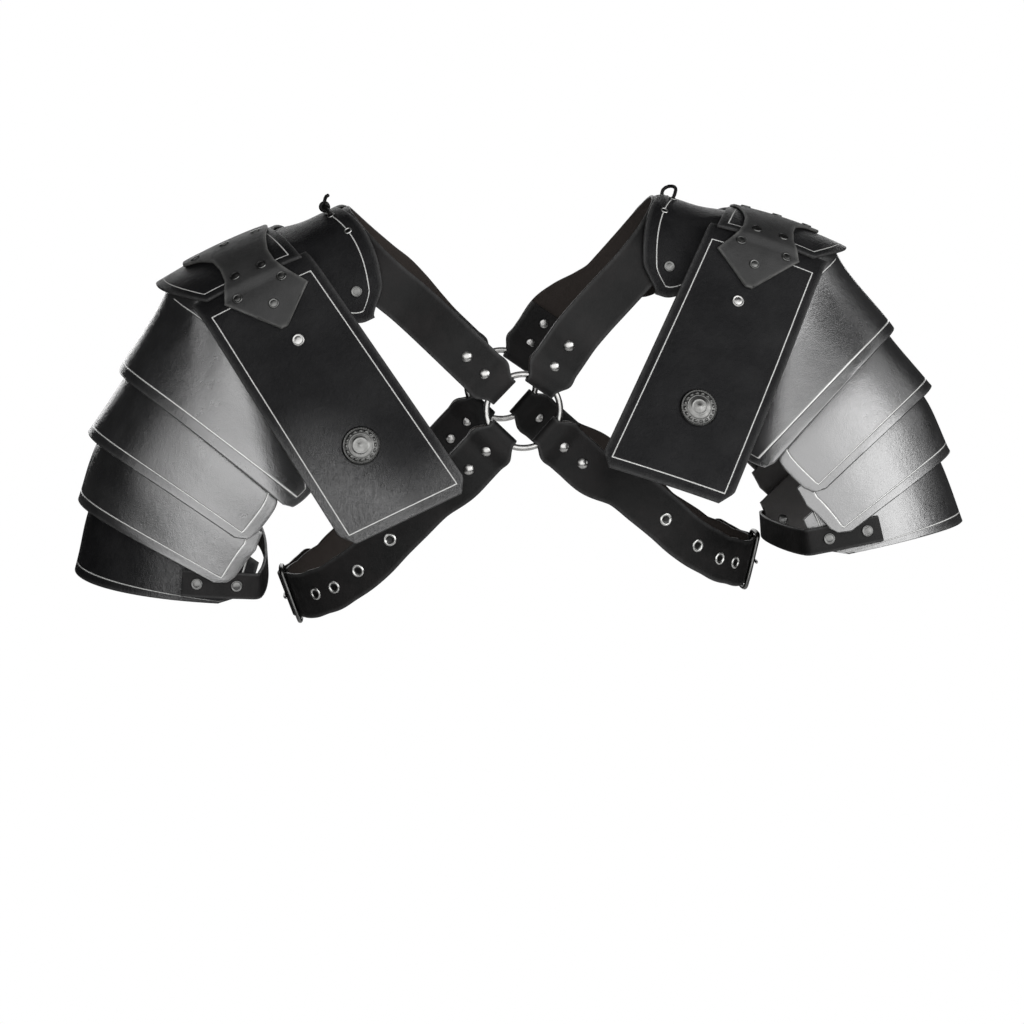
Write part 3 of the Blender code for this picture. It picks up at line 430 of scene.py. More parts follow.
@dataclass
class ShoulderPlates:
    """Cap, saddle, connector and chest plate of one shoulder."""

    sit: Sit
    leather: bpy.types.Material
    matt: bpy.types.Material
    step: float = 0.0022
    line_inset: float = 0.0080
    saddle_corner_inset: float = 0.036
    saddle_inner_shift: float = 0.015
    cap_bulge: float = 0.014
    cap_line: float = 0.0120
    chest_widths: tuple[float, float] = (0.105, 0.112)
    chest_tuck: float = 0.008
    corner_cut: float = 0.012
    connector_length: float = 0.130
    connector_back: float = 0.050
    connector_places: tuple[float, ...] = (
        0.0, 0.06, 0.15, 0.28, 0.42, 0.54, 0.62, 0.69, 0.79, 1.0)
    connector_middles: tuple[float, ...] = (
        0.381, 0.381, 0.325, 0.285, 0.276, 0.268, 0.268, 0.258, 0.172, 0.202)
    connector_widths: tuple[float, ...] = (
        0.0780, 0.0780, 0.0616, 0.0484, 0.0431, 0.0449, 0.0525, 0.0627, 0.0602, 0.0058)

    def panel(self, name: str, face: Array, **more: object) -> bpy.types.Object:
        """Rest a face on this side, build its panel and hide the plain solid."""
        full = "%s_leather_%s" % (name, self.sit.name)
        leather = self.matt if name == "connector" else self.leather
        piece = Panel(full, FORM.rest(face, self.sit), leather, FORM.inside(self.sit),
                      **more).build()
        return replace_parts(piece, "%s_%s" % (name, self.sit.name))

    def saddle(self) -> bpy.types.Object:
        """Arched plate over the shoulder point with a tooled border and curled lips."""
        half = FORM.saddle_half
        lengths = spaced(-half, half, self.step, (self.line_inset - half, half - self.line_inset))
        share = np.abs(lengths) / half
        low = -self.saddle_inner_shift * share
        high = FORM.saddle_width - self.saddle_corner_inset * share ** 2
        across = edge_columns(low, high, self.line_inset, self.step, np.zeros(len(lengths)))
        over = np.maximum(low[:, None] + self.line_inset - across,
                          across - high[:, None] + self.line_inset)
        along = np.abs(lengths)[:, None] - half + self.line_inset + 0.0 * across
        face = FORM.shoulder(across, lengths[:, None] + 0.0 * across, 0.0)
        return self.panel("saddle_plate", face, line=tooled(box_distance(over, along)))

    def chest_half(self, lengths: Array) -> Array:
        """Half width of the chest plate at lengths from the ridge."""
        share = np.clip((lengths - FORM.saddle_half - FORM.bend) / FORM.chest_length, 0.0, 1.0)
        return (self.chest_widths[0] + (self.chest_widths[1] - self.chest_widths[0]) * share) / 2.0

    def chest(self) -> bpy.types.Object:
        """Long front plate with cut lower corners and a tooled rectangle."""
        start, end = FORM.saddle_half - self.chest_tuck, FORM.reach
        top_line, bottom_line = FORM.saddle_half + 0.0165, end - 0.0090
        lengths = spaced(start, end, self.step, (top_line, bottom_line))
        half, axis = self.chest_half(lengths), FORM.axis(lengths)
        cut = np.clip((lengths - end + self.corner_cut) / self.corner_cut, 0.0, 1.0)
        cut = cut * self.corner_cut * 0.75
        across = edge_columns(axis - half, axis + half, self.line_inset, self.step, cut)
        over = np.abs(across - axis[:, None]) - half[:, None] + self.line_inset
        along = np.abs(lengths - (top_line + bottom_line) / 2.0) - (bottom_line - top_line) / 2.0
        face = FORM.shoulder(across, lengths[:, None] + 0.0 * across, FORM.chest_offset)
        share = ((lengths - start) / (end - start))[:, None]
        aside = (across - axis[:, None]) / half[:, None]
        # Painted sheen: coat on the lower, outer part of the left chest plate only, where a highlight is
        # wanted; the right plate gets none.
        polish = smooth((share - 0.46) / 0.42) * smooth((aside + 0.45) / 1.1)
        polish = np.clip(polish + 0.65 * smooth((share - 0.78) / 0.22), 0.0, 1.0)
        polish = 0.85 * polish * (self.sit.hand < 0.0)
        return self.panel("chest_plate", face, wave=0.0005, polish=polish,
                          line=tooled(box_distance(over, along[:, None] + 0.0 * across)))

    def connector_half(self, length: Array) -> Array:
        """Half width of the connector: ridge, waist and shield."""
        return np.interp(np.abs(length), np.array(self.connector_places) * self.connector_length,
                         np.array(self.connector_widths) / 2.0)

    def connector_axis(self, length: Array) -> Array:
        """Outward place of the middle of the connector."""
        return np.interp(np.abs(length), np.array(self.connector_places) * self.connector_length,
                         np.array(self.connector_middles) * FORM.saddle_width)

    def connector_offset(self, lengths: Array) -> Array:
        """Height of the connector over the saddle, stepping down onto the chest plate."""
        edge = FORM.saddle_half + FORM.leather * 0.5
        drop = smooth((lengths - edge) / (FORM.leather * 3.5))
        return FORM.leather + FORM.clearance + FORM.chest_offset * drop

    def connector(self) -> bpy.types.Object:
        """Waisted piece over the ridge with a shield-shaped front end."""
        corners = tuple(place * self.connector_length for place in self.connector_places[-4:-1])
        lengths = spaced(-self.connector_back, self.connector_length, 0.0014, corners)
        half = self.connector_half(lengths)
        across = self.connector_axis(lengths)[:, None] + half[:, None] * np.linspace(-1, 1, 31)
        face = FORM.shoulder(across, lengths[:, None] + 0.0 * across,
                             self.connector_offset(lengths)[:, None])
        return self.panel("connector", face, wave=0.0002)

    def cap_edge(self, share: Array) -> Array:
        """Place of the cap's neck edge at shares of its half length."""
        away = np.abs(share)
        edge = -FORM.cap_reach - self.cap_bulge * np.sin(
            math.pi * np.clip(away / 0.98, 0.0, 1.0) ** 1.15)
        return edge + 0.010 * smooth((away - 0.82) / 0.18)

    def cap(self) -> bpy.types.Object:
        """Neck-side saddle of leather with a line along its neck edge."""
        full = FORM.cap_full
        share = spaced(-full, full, self.step, (0.009 - full, full - 0.009)) / full
        away = np.abs(share)
        edge = self.cap_edge(share)
        end = FORM.saddle_width * 0.12 - self.saddle_inner_shift * away * 0.3
        near = spaced(0.0, self.cap_line + 0.003, self.step, (self.cap_line,))
        rest = np.linspace(0.0, 1.0, 30)[1:]
        start = edge[:, None] + near
        across = np.concatenate([start, start[:, -1:] + (end[:, None] - start[:, -1:]) * rest],
                                axis=1)
        length = share[:, None] * full + 0.0 * across
        under = FORM.chest_offset - FORM.clearance + (FORM.cap_offset - FORM.chest_offset) * smooth(
            (np.abs(length) - FORM.saddle_half * 0.6) / (FORM.saddle_half * 0.2))
        low = FORM.neck(across, share[:, None] + 0.0 * across, 0.0)
        high = FORM.shoulder(across, length, under)
        blend = smooth((across + FORM.cap_reach * 0.70) / (FORM.cap_reach * 0.62))[..., None]
        over = edge[:, None] + self.cap_line - across
        along = np.abs(length) - full + 0.009
        return self.panel("shoulder_cap", low * (1.0 - blend) + high * blend,
                          line=tooled(box_distance(over, along)))

    def build(self) -> None:
        """Make the four plates."""
        self.cap()
        self.saddle()
        self.chest()
        self.connector()


@dataclass(frozen=True)
class Lame:
    """One band round the upper arm, as shares of the stack's sizes."""

    reach: float
    drop: float
    width: float
    depth: float
    fall: float
    wrap_top: float
    wrap_low: float
    wrap_bottom: float
    standoff: float
    spacing: float
    overlap: float
    cut: float


@dataclass
class LameStack:
    """The four bands of one arm, each rolled into the next."""

    sit: Sit
    leather: bpy.types.Material
    satin: bpy.types.Material
    half_span: float = 0.379
    lame_drop: float = 0.297
    arm_depth: float = 0.112
    arm_width: float = 0.118
    lame_overlap: float = 0.020
    lame_standoff: float = 0.0060
    lame_gap: float = 0.0009
    corner_cut: float = 0.006
    corner_slope: float = 0.55
    low_row: float = 0.82
    tuck: float = 0.010
    dip: float = 1.28
    strap_thickness: float = 0.0028
    line_inset: float = 0.0085
    upper_line: tuple[float, float] = (0.15, 0.26)
    upper_span: tuple[float, float] = (30.0, 72.0)
    sheen_angle: float = 1.22
    sheen_width: float = 0.20
    rows: tuple[Lame, ...] = (
        Lame(0.873, 0.432, 0.932, 0.985, 0.275, 88.0, 118.0, 105.0, 0.00, 0.00, 1.0, 1.6),
        Lame(0.950, 0.604, 1.017, 1.000, 0.255, 99.0, 95.0, 93.0, 0.50, 0.12, 1.0, 1.4),
        Lame(0.982, 0.795, 1.000, 0.980, 0.197, 97.0, 93.0, 91.0, 1.20, 0.00, 1.0, 1.6),
        Lame(1.000, 0.998, 0.975, 0.930, 0.040, 100.0, 101.5, 102.0, 0.60, 1.35, 2.2, 3.2))

    def bottom(self, index: int, angle: Array) -> Array:
        """Lower edge of a lame: an ellipse that falls as it turns inward."""
        row, inward = self.rows[index], 1.0 - np.cos(angle)
        return np.stack([self.half_span * row.reach - self.arm_width * row.width * inward,
                         -self.arm_depth * row.depth * np.sin(angle),
                         -self.lame_drop * (row.drop + row.fall * inward ** self.dip)], axis=-1)

    def top(self, angle: Array) -> Array:
        """Upper edge of the first lame, tucked under the saddle and the chest plate."""
        length = angle / math.radians(self.rows[0].wrap_bottom) * (FORM.saddle_half + FORM.bend)
        share = np.abs(length) / FORM.saddle_half
        across = FORM.saddle_width - self.tuck - 0.036 * share ** 2
        offset = FORM.chest_offset + (FORM.cap_offset - FORM.chest_offset) * smooth(
            (share - 0.7) / 0.2)
        return FORM.shoulder(across, length, offset - 0.0004)

    def point(self, index: int, angle: Array, share: Array) -> Array:
        """Outer points of a lame: share is 0 at the edge of the one above, 1 at its own.

        A cubic leaves the lame above along its own slope, one wall and a gap inside it,
        and ends on the lower edge.
        """
        angle, share = np.broadcast_arrays(np.asarray(angle, float), np.asarray(share, float))
        end = self.bottom(index, angle)
        if index == 0:
            start = self.top(angle)
            chord = end - start
            down = np.zeros_like(chord)
            down[..., 2] = -np.linalg.norm(chord, axis=-1)
            return hermite(start, end, down * 0.55, chord, np.clip(share, 0.0, 1.0)[..., None])
        hidden, row = np.minimum(share, 0.0), self.rows[index]
        normal = self.normal(index - 1, angle, 1.0 + hidden)
        stand = self.lame_standoff * row.standoff * np.clip(np.cos(angle), 0.0, 1.0) ** 1.5
        inset = FORM.leather + self.lame_gap + self.strap_thickness * row.spacing + stand
        above = self.point(index - 1, angle, 1.0 + hidden)
        start = above - normal * inset[..., None]
        tangent = unit(above - self.point(index - 1, angle, 1.0 + hidden - 1e-3))
        chord = end - start
        size = np.linalg.norm(chord, axis=-1, keepdims=True)
        curve = hermite(start, end, tangent * size * 0.8, chord,
                        np.maximum(share, 0.0)[..., None])
        return np.where((share < 0.0)[..., None], start, curve)

    def normal(self, index: int, angle: Array, share: Array) -> Array:
        """Outward normal of a lame, from two short steps on it."""
        small = 1e-3
        down = self.point(index, angle, share) - self.point(index, angle, share - small)
        around = (self.point(index, angle + small, share)
                  - self.point(index, angle - small, share))
        return unit(np.cross(around, down))

    def level_shares(self, index: int, angles: Array, height: Array) -> Array:
        """Shares of the places on a lame that lie a height above its lower edge."""
        tries = np.linspace(-0.9, 1.0, 96)
        levels = self.point(index, angles[:, None], tries)[..., 2]
        wanted = self.bottom(index, angles)[:, 2] + height
        return np.array([np.interp(-level, -row, tries) for level, row in zip(wanted, levels)])

    def band(self, index: int) -> bpy.types.Object:
        """One lame as a panel, with a line along its lower and its two end edges."""
        row = self.rows[index]
        ends = self.point(index, np.array(0.0), np.array([0.0, 1.0]))
        height = float(np.linalg.norm(ends[1] - ends[0]))
        hidden = 0.0
        if index:
            above = self.point(index - 1, np.array(0.0), np.array([0.0, 1.0]))
            hidden = min(self.lame_overlap * row.overlap
                         / float(np.linalg.norm(above[1] - above[0])), 0.95)
        line_place = 1.0 - self.line_inset / height
        down = spaced(0.0, 1.0, 0.0024 / height, (line_place,), 0.0003 / height, 0.0013 / height)
        low = np.arange(line_place, 1.0, 0.0005 / height)[3:-1]
        down = np.unique(np.concatenate([down[down < low[0]], low, [1.0]]))
        if index == 0:
            upper = np.arange(self.upper_line[0], self.upper_line[1], 0.0004 / height)
            kept = down[(down < upper[0]) | (down > upper[-1])]
            down = np.unique(np.concatenate([kept, upper]))
        if index:
            down = np.concatenate([np.linspace(-hidden, 0.0, 7)[:-1], down])
        wrap = np.radians(np.interp(down, (0.0, self.low_row, 1.0),
                                    (row.wrap_top, row.wrap_low, row.wrap_bottom)))
        radius = (self.arm_width + self.arm_depth) / 2.0 * row.depth
        inset = self.line_inset / radius
        depth = inset + 0.004 / radius
        near = spaced(0.0, depth, 0.0024 / radius, (inset,), 0.0003 / radius, 0.0013 / radius)
        middle = np.linspace(0.0, 1.0, 128)[1:-1]
        first = -wrap[:, None] + near
        last = wrap[:, None] - near[::-1]
        angles = np.concatenate([first, first[:, -1:] + (last[:, :1] - first[:, -1:]) * middle,
                                 last], axis=1)
        corner = self.corner_cut * row.cut
        into = 1.0 - (wrap[-1] - np.abs(angles[-1])) * self.arm_width / corner
        lowest = self.level_shares(index, angles[-1],
                                   corner * self.corner_slope * np.clip(into, 0.0, 1.0))
        spread = down[0] + (down[:, None] - down[0]) * (lowest - down[0]) / (1.0 - down[0])
        face = self.point(index, angles, spread)
        over = (np.abs(angles) - wrap[:, None] + inset) * radius
        along = (spread - 1.0) * height + self.line_inset
        line = tooled(box_distance(over, along))
        if index == 0:
            line = np.maximum(line, self.line_above(angles, spread, height))
        name = "arm_lame_%d" % (index + 1)
        # The left fourth lame takes the satin finish, a shaded copy of its right twin.
        dull = index == 3 and self.sit.hand < 0.0
        # Painted sheen: a soft band of coat round one turn of the lame; only the satin finish reads it.
        polish = 0.55 * np.exp(-((angles - self.sheen_angle) / self.sheen_width) ** 2)
        piece = Panel("%s_leather_%s" % (name, self.sit.name), FORM.rest(face, self.sit),
                      self.satin if dull else self.leather, FORM.inside(self.sit), line=line,
                      wave=0.0004, polish=polish).build()
        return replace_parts(piece, "%s_%s" % (name, self.sit.name))

    def line_above(self, angles: Array, spread: Array, height: float) -> Array:
        """Depth share of the first lame's upper line, which slants down from each corner."""
        start, end = np.radians(self.upper_span)
        turn = (np.abs(angles) - start) / (end - start)
        low, high = self.upper_line
        place = low + 0.01 + (high - low - 0.02) * np.clip(turn, 0.0, 1.0)
        shown = smooth(turn / 0.06) * smooth((1.15 - turn) / 0.05)
        return tooled(np.abs(spread - place) * height) * shown

    def build(self) -> None:
        """Make the four lames from the top down."""
        for index in range(len(self.rows)):
            self.band(index)


def refine(points: Array, step: float) -> tuple[Array, Array]:
    """Carry a smooth curve through points and read it at even steps.

    Args:
        points: Points in order, with any columns that ride along after the first three.
        step: Distance between the places read.

    Returns:
        The refined rows, and their share of the way along. Between two points the curve
        is a cubic whose end slopes are those between the neighbours, by chord length.
    """
    gaps = np.linalg.norm(np.diff(points[:, :3], axis=0), axis=1)
    places = np.concatenate([[0.0], np.cumsum(gaps)])
    slopes = np.gradient(points, places, axis=0)
    count = max(int(places[-1] / step), 4)
    read = np.linspace(0.0, places[-1], count + 1)
    before = np.clip(np.searchsorted(places, read, side="right") - 1, 0, len(points) - 2)
    size = gaps[before][:, None]
    share = ((read - places[before]) / gaps[before])[:, None]
    rows = hermite(points[before], points[before + 1], slopes[before] * size,
                   slopes[before + 1] * size, share)
    return rows, read / places[-1]


def tube_mesh(path: Array, radius: Array, sides: int, closed: bool) -> tuple[Array, Array]:
    """Carry a circle along a path without twist.

    Args:
        path: Centre line.
        radius: Radius at each point of it.
        sides: Points round the circle.
        closed: Whether the path runs back to its start.

    Returns:
        Points and quads. The circle's first direction is kept square to the path by
        taking out its part along the path at each step; the ends close in a pole.
    """
    if closed:
        along = unit(np.roll(path, -1, axis=0) - np.roll(path, 1, axis=0))
    else:
        along = unit(np.gradient(path, axis=0))
    guide = np.eye(3)[int(np.argmin(np.abs(along).max(axis=0)))]
    across = np.empty_like(path)
    for index, heading in enumerate(along):
        guide = guide - heading * float(guide @ heading)
        guide = guide / np.linalg.norm(guide)
        across[index] = guide
    if closed:
        guide = np.eye(3)[int(np.argmin(np.abs(along).max(axis=0)))]
        across = unit(guide - along * (along @ guide)[:, None])
    up = np.cross(across, along)
    turns = np.linspace(0.0, 2.0 * math.pi, sides, endpoint=False)[None, :, None]
    size = np.broadcast_to(np.asarray(radius, float), (len(path),))[:, None, None]
    rings = path[:, None] + size * (across[:, None] * np.cos(turns) + up[:, None] * np.sin(turns))
    count = len(path)
    points, faces = rings.reshape(-1, 3), grid_faces(count, sides, wrap=True)
    over = np.arange(sides)
    beside = (over + 1) % sides
    if closed:
        last = (count - 1) * sides
        return points, np.concatenate([faces, np.stack([last + over, last + beside, beside, over],
                                                       axis=1)])
    base = len(points)
    points = np.concatenate([points, path[:1], path[-1:]])
    first = np.stack([np.full(sides, base), np.full(sides, base), beside, over], axis=1)
    last = np.stack([np.full(sides, base + 1), np.full(sides, base + 1),
                     (count - 1) * sides + over, (count - 1) * sides + beside], axis=1)
    return points, np.concatenate([faces, first, last])


def turned(profile: Array, frames: Array, segments: int) -> tuple[Array, Array]:
    """Turn one profile round several placed axes.

    Args:
        profile: Radius and height rows; the first and last have radius 0.
        frames: For each copy, a centre, an axis and two directions square to it.
        segments: Points round the axis.

    Returns:
        Points and quads of all copies: centre + axis * height + radius * (cosine of the
        turn in the first direction and sine in the second).
    """
    frames = np.asarray(frames, float).reshape(-1, 4, 3)
    turns = np.linspace(0.0, 2.0 * math.pi, segments, endpoint=False)
    circle = (np.cos(turns)[None, :, None] * frames[:, None, 2]
              + np.sin(turns)[None, :, None] * frames[:, None, 3])
    body = profile[1:-1]
    rings = (frames[:, None, None, 0] + frames[:, None, None, 1] * body[None, :, None, 1:]
             + circle[:, None] * body[None, :, None, :1])
    copies, levels = len(frames), len(body)
    poles = frames[:, None, 0] + frames[:, None, 1] * profile[[0, -1], 1][None, :, None]
    points = np.concatenate([rings.reshape(copies, -1, 3), poles], axis=1)
    faces = grid_faces(levels, segments, wrap=True)
    over = np.arange(segments)
    beside = (over + 1) % segments
    top, end = levels * segments, (levels - 1) * segments
    faces = np.concatenate([
        faces, np.stack([np.full(segments, top)] * 2 + [beside, over], axis=1),
        np.stack([np.full(segments, top + 1)] * 2 + [end + over, end + beside], axis=1)])
    every = faces[None] + (np.arange(copies) * points.shape[1])[:, None, None]
    return points.reshape(-1, 3), every.reshape(-1, 4)


@dataclass
class Strap:
    """A flat leather strap with softly rounded edges, swept along its middle line."""

    name: str
    path: Array
    facing: Array
    widths: Array
    material: bpy.types.Material
    thickness: float = 0.0028
    step: float = 0.0016
    corner: float = 0.0011

    def section(self) -> Array:
        """Cross-section rows: share of the half width, added width, height."""
        flat = np.linspace(1.0, -1.0, 15)
        tall = self.thickness / 2.0
        low = tall - self.corner
        rows = [np.stack([flat, np.zeros(15), np.full(15, tall)], axis=1)]
        for start, sign in ((90.0, -1.0), (180.0, -1.0)):
            turns = np.radians(start + np.array([22.5, 45.0, 67.5]))
            height = np.sin(turns) * self.corner + (low if start == 90.0 else -low)
            rows.append(np.stack([np.full(3, sign), np.cos(turns) * self.corner, height], axis=1))
        under = rows[0][::-1] * np.array([1.0, 1.0, -1.0])
        rows.append(under)
        for start in (270.0, 0.0):
            turns = np.radians(start + np.array([22.5, 45.0, 67.5]))
            height = np.sin(turns) * self.corner + (-low if start == 270.0 else low)
            rows.append(np.stack([np.ones(3), np.cos(turns) * self.corner, height], axis=1))
        return np.concatenate(rows)

    def surface(self) -> tuple[Array, Array, Array]:
        """Rings of points along the strap, their facing directions and the middle line."""
        rows, _share = refine(np.concatenate([self.path, self.facing, self.widths[:, None]],
                                             axis=1), self.step)
        path, widths = rows[:, :3], rows[:, 6]
        along = unit(np.gradient(path, axis=0))
        across = unit(np.cross(rows[:, 3:6], along))
        facing = unit(np.cross(along, across))
        section = self.section()
        half = widths[:, None] / 2.0 - self.corner
        wide = section[None, :, 0] * half + section[None, :, 1]
        rings = (path[:, None] + across[:, None] * wide[..., None]
                 + facing[:, None] * section[None, :, 2:])
        return rings, facing, path

    def build(self) -> bpy.types.Object:
        """Make the strap, closed at both ends by rings drawn in a little."""
        rings, facing, path = self.surface()
        ends = []
        for index, way in ((0, -1), (-1, 1)):
            along = unit(path[index] - path[index + (1 if index == 0 else -1)])
            inner = path[index] + (rings[index] - path[index]) * 0.93
            ends.append(inner + along * 0.0005)
        rings = np.concatenate([ends[0][None], rings, ends[1][None]])
        count, sides = rings.shape[:2]
        faces = grid_faces(count, sides, wrap=True)
        base = count * sides
        middles = np.stack([rings[0].mean(axis=0), rings[-1].mean(axis=0)])
        over = np.arange(sides)
        beside = (over + 1) % sides
        faces = np.concatenate([
            faces, np.stack([np.full(sides, base)] * 2 + [beside, over], axis=1),
            np.stack([np.full(sides, base + 1)] * 2 + [(count - 1) * sides + over,
                                                       (count - 1) * sides + beside], axis=1)])
        points = np.concatenate([rings.reshape(-1, 3), middles])
        section = self.section()
        rim = smooth((np.abs(section[:, 0]) - 0.86) / 0.14)
        inside = (section[:, 2] < -self.thickness * 0.3).astype(float)
        marks = {"rim": np.concatenate([np.tile(rim, count), [1.0, 1.0]]),
                 "inside": np.concatenate([np.tile(inside, count), [0.0, 0.0]]),
                 "line": np.zeros(len(points))}
        return add_piece(self.name, points, faces, self.material, marks)


class Head(Enum):
    """Outlines of the metal heads, as radius and height in shares of the head's radius."""

    DOME = ((0.0, 0.50), (0.30, 0.475), (0.55, 0.40), (0.76, 0.28), (0.91, 0.14), (1.0, 0.02),
            (0.98, -0.03), (0.80, -0.05), (0.42, -0.06))
    RIMMED = ((0.0, 0.27), (0.30, 0.26), (0.55, 0.21), (0.68, 0.16), (0.74, 0.19), (0.82, 0.24),
              (0.91, 0.21), (0.98, 0.09), (1.0, 0.0), (0.95, -0.05), (0.42, -0.06))


@dataclass
class Rivets:
    """Through rivets: a domed head, a shank and a burr behind the leather."""

    name: str
    metal: bpy.types.Material
    radius: float = 0.0048
    head: Head = Head.DOME
    places: list[Array] = field(default_factory=list)
    grip: float = 0.0062

    def at(self, frame_rows: Array) -> None:
        """Add a rivet at a centre with an axis and two directions."""
        self.places.append(np.asarray(frame_rows, float))

    def profile(self) -> Array:
        """Radius and height of the whole rivet, from the crown to the burr."""
        head = np.array(self.head.value) * self.radius
        shank = self.radius * 0.36
        low = -self.grip
        tail = np.array([(shank, -0.0004), (shank, low), (self.radius * 0.80, low - 0.0001),
                         (self.radius * 0.86, low - 0.0005), (self.radius * 0.70, low - 0.0010),
                         (0.0, low - 0.0011)])
        return np.concatenate([head, tail])

    def build(self) -> bpy.types.Object:
        """Make all rivets of this group as one piece."""
        points, faces = turned(self.profile(), np.stack(self.places), 28)
        piece = add_piece(self.name, points, faces, self.metal)
        return piece


@dataclass
class Eyelets:
    """Pressed eyelets: a rounded steel rim round a closed floor, painted dark as the shade in its hole."""

    name: str
    metal: bpy.types.Material
    places: list[Array] = field(default_factory=list)

    def at(self, frame_rows: Array, radius: float) -> None:
        """Add an eyelet of a radius at a centre with an axis and two directions."""
        rows = np.asarray(frame_rows, float)
        self.places.append(np.concatenate([rows[:1], rows[1:] * radius]))

    def build(self) -> bpy.types.Object:
        """Make the eyelets as one piece; the floor that stands for the hole carries height 0, where the
        metal paints it dark as shade, and a rim carries 1.
        """
        outline = np.array([(0.0, 0.03), (0.30, 0.03), (0.50, 0.035), (0.55, 0.07), (0.62, 0.14),
                            (0.73, 0.19), (0.86, 0.16), (0.96, 0.07), (1.0, -0.02),
                            (0.92, -0.06), (0.0, -0.08)])
        # Height mark: 0 on the floor, painted dark as the hole's shade; 1 on the rim.
        high = np.array([0.0, 0.0, 0.0, 0.55, 1.0, 1.0, 1.0, 1.0, 1.0, 1.0, 1.0])
        points, faces = turned(outline, np.stack(self.places), 32)
        marks = np.concatenate([np.repeat(high[1:-1], 32), high[[0, -1]]])
        piece = add_piece(self.name, points, faces, self.metal,
                          {"height": np.tile(marks, len(self.places))})
        return piece


def square_frame(centre: Array, axis: Array, along: Array) -> Array:
    """Centre, axis and two directions square to it, the first one as near as can be to along."""
    axis = unit(axis)
    first = unit(along - axis * float(along @ axis))
    return np.stack([centre, axis, first, np.cross(axis, first)])




@dataclass
class Harness:
    """Straps, rings and side buckles that join the two pauldrons."""

    leather: bpy.types.Material
    metal: bpy.types.Material
    dark_metal: bpy.types.Material
    eyelet_metal: bpy.types.Material
    clearance: float = 0.0003
    thickness: float = 0.0028
    width: float = 0.040
    end_width: float = 0.027
    ring_radius: float = 0.0305
    ring_wire: float = 0.0026
    ring_height: float = -0.170
    chest_depth: float = 0.092
    torso_width: float = 0.194
    taper: float = 0.30
    lap: float = 0.076
    wire: float = 0.0020
    buckle_length: float = 0.022
    buckle_play: float = 0.003
    tip: float = 0.050
    ridge_place: float = -0.047
    drift: float = 0.031
    drop: float = 0.297
    start_angle: float = math.asin(0.36)
    buckle_angle: float = math.radians(97.0)
    lower: tuple[tuple[float, float], ...] = ((0.30, 0.192), (0.48, 0.300), (0.66, 0.410),
                                              (0.82, 0.476), (0.94, 0.510), (1.00, 0.520))
    rivet_places: tuple[float, float] = (0.0445, 0.0655)
    eyelet_angles: tuple[float, ...] = (33.0, 44.4, 54.6, 64.0)
    eyelet_radius: float = 0.0058
    tip_rivet_angle: float = 104.0

    def fold(self) -> Array:
        """Middle line of a strap folded round the ring: distance from its middle, height."""
        gap = (self.clearance + self.thickness) / 2.0
        turn = self.ring_wire + self.clearance + self.thickness / 2.0
        half = self.end_width / 2.0
        inner = math.sqrt((self.ring_radius - self.ring_wire) ** 2 - half ** 2) - self.clearance
        inner += turn - self.thickness / 2.0
        under = [(self.lap, -gap), (self.ring_radius + 0.026, -gap),
                 (self.ring_radius + 0.017, -gap), (self.ring_radius + 0.0065, -turn),
                 (self.ring_radius, -turn), (inner, -turn)]
        bend = [(inner - turn * math.sin(angle), -turn * math.cos(angle))
                for angle in np.radians((30.0, 60.0, 90.0, 120.0, 150.0))]
        return np.array(under + bend + [(place, -height) for place, height in reversed(under)])

    def fold_on_chest(self, angle: float) -> tuple[Array, Array, Array]:
        """Points, facing directions and widths of a fold whose strap rises at an angle."""
        fold, heading = self.fold(), math.radians(angle)
        direction, front = np.array([math.cos(heading), 0.0, math.sin(heading)]), \
            np.array([0.0, -1.0, 0.0])
        centre = np.array([0.0, -self.chest_depth, self.ring_height])
        points = centre + fold[:, :1] * direction + fold[:, 1:] * front
        run = unit(np.gradient(fold, axis=0))
        widths = np.interp(fold[:, 0], (self.ring_radius - 0.003, self.ring_radius + 0.0065),
                           (self.end_width, self.width))
        return points, run[:, :1] * front - run[:, 1:] * direction, widths

    def over_path(self, sit: Sit, arc_steps: int = 19) -> tuple[Array, Array, Array]:
        """Over-shoulder strap from the front ring to the back ring, outward side positive."""
        points, normals, widths = self.fold_on_chest(sit.rise)
        share = np.linspace(0.98, -0.98, arc_steps)
        across = self.ridge_place - self.drift * sit.drift * np.abs(share) ** 2.2
        inset = -FORM.leather - self.clearance * 3.0 - self.thickness / 2.0
        flat = Sit(sit.name, 1.0, sit.lift, sit.pitch, sit.rise, sit.fall, sit.drift)
        arc = FORM.rest(FORM.neck(across, share, inset), flat)
        arc_normals = unit(arc - FORM.rest(FORM.neck(across, share, inset - 0.01), flat))
        mirror = np.array([1.0, -1.0, 1.0])
        shares = np.linspace(0.0, 1.0, 4)[1:-1, None]
        heading = math.radians(sit.rise)
        rise = np.array([math.cos(heading), 0.0, math.sin(heading)])

        def run(start: Array, start_normal: Array, end: Array, way: Array,
                end_normal: Array) -> tuple[Array, Array]:
            """Cubic from a fold to the arch, with its facing directions."""
            size = float(np.linalg.norm(end - start)) * 0.55
            return (hermite(start, end, rise * size, way * size, shares),
                    unit(start_normal * (1.0 - shares) + end_normal * shares))

        front, front_normals = run(points[-1], normals[-1], arc[0], unit(arc[1] - arc[0]),
                                   arc_normals[0])
        back, back_normals = run(points[-1] * mirror, normals[-1] * mirror, arc[-1],
                                 unit(arc[-2] - arc[-1]), arc_normals[-1])
        path = np.concatenate([points, front, arc, back[::-1], (points * mirror)[::-1]])
        facing = np.concatenate([normals, front_normals, arc_normals, back_normals[::-1],
                                 (normals * mirror)[::-1]])
        middle = np.full(len(front) * 2 + arc_steps, self.width)
        return path, facing, np.concatenate([widths, middle, widths[::-1]])

    def torso(self, angle: Array, height: Array) -> Array:
        """Points round the torso: an ellipse that narrows downward, angle 0 in front."""
        below = self.ring_height - self.drop * self.lower[-1][1] - height
        return np.stack([(self.torso_width - self.taper * below) * np.sin(angle),
                         -self.chest_depth * np.cos(angle), height + 0.0 * angle], axis=-1)

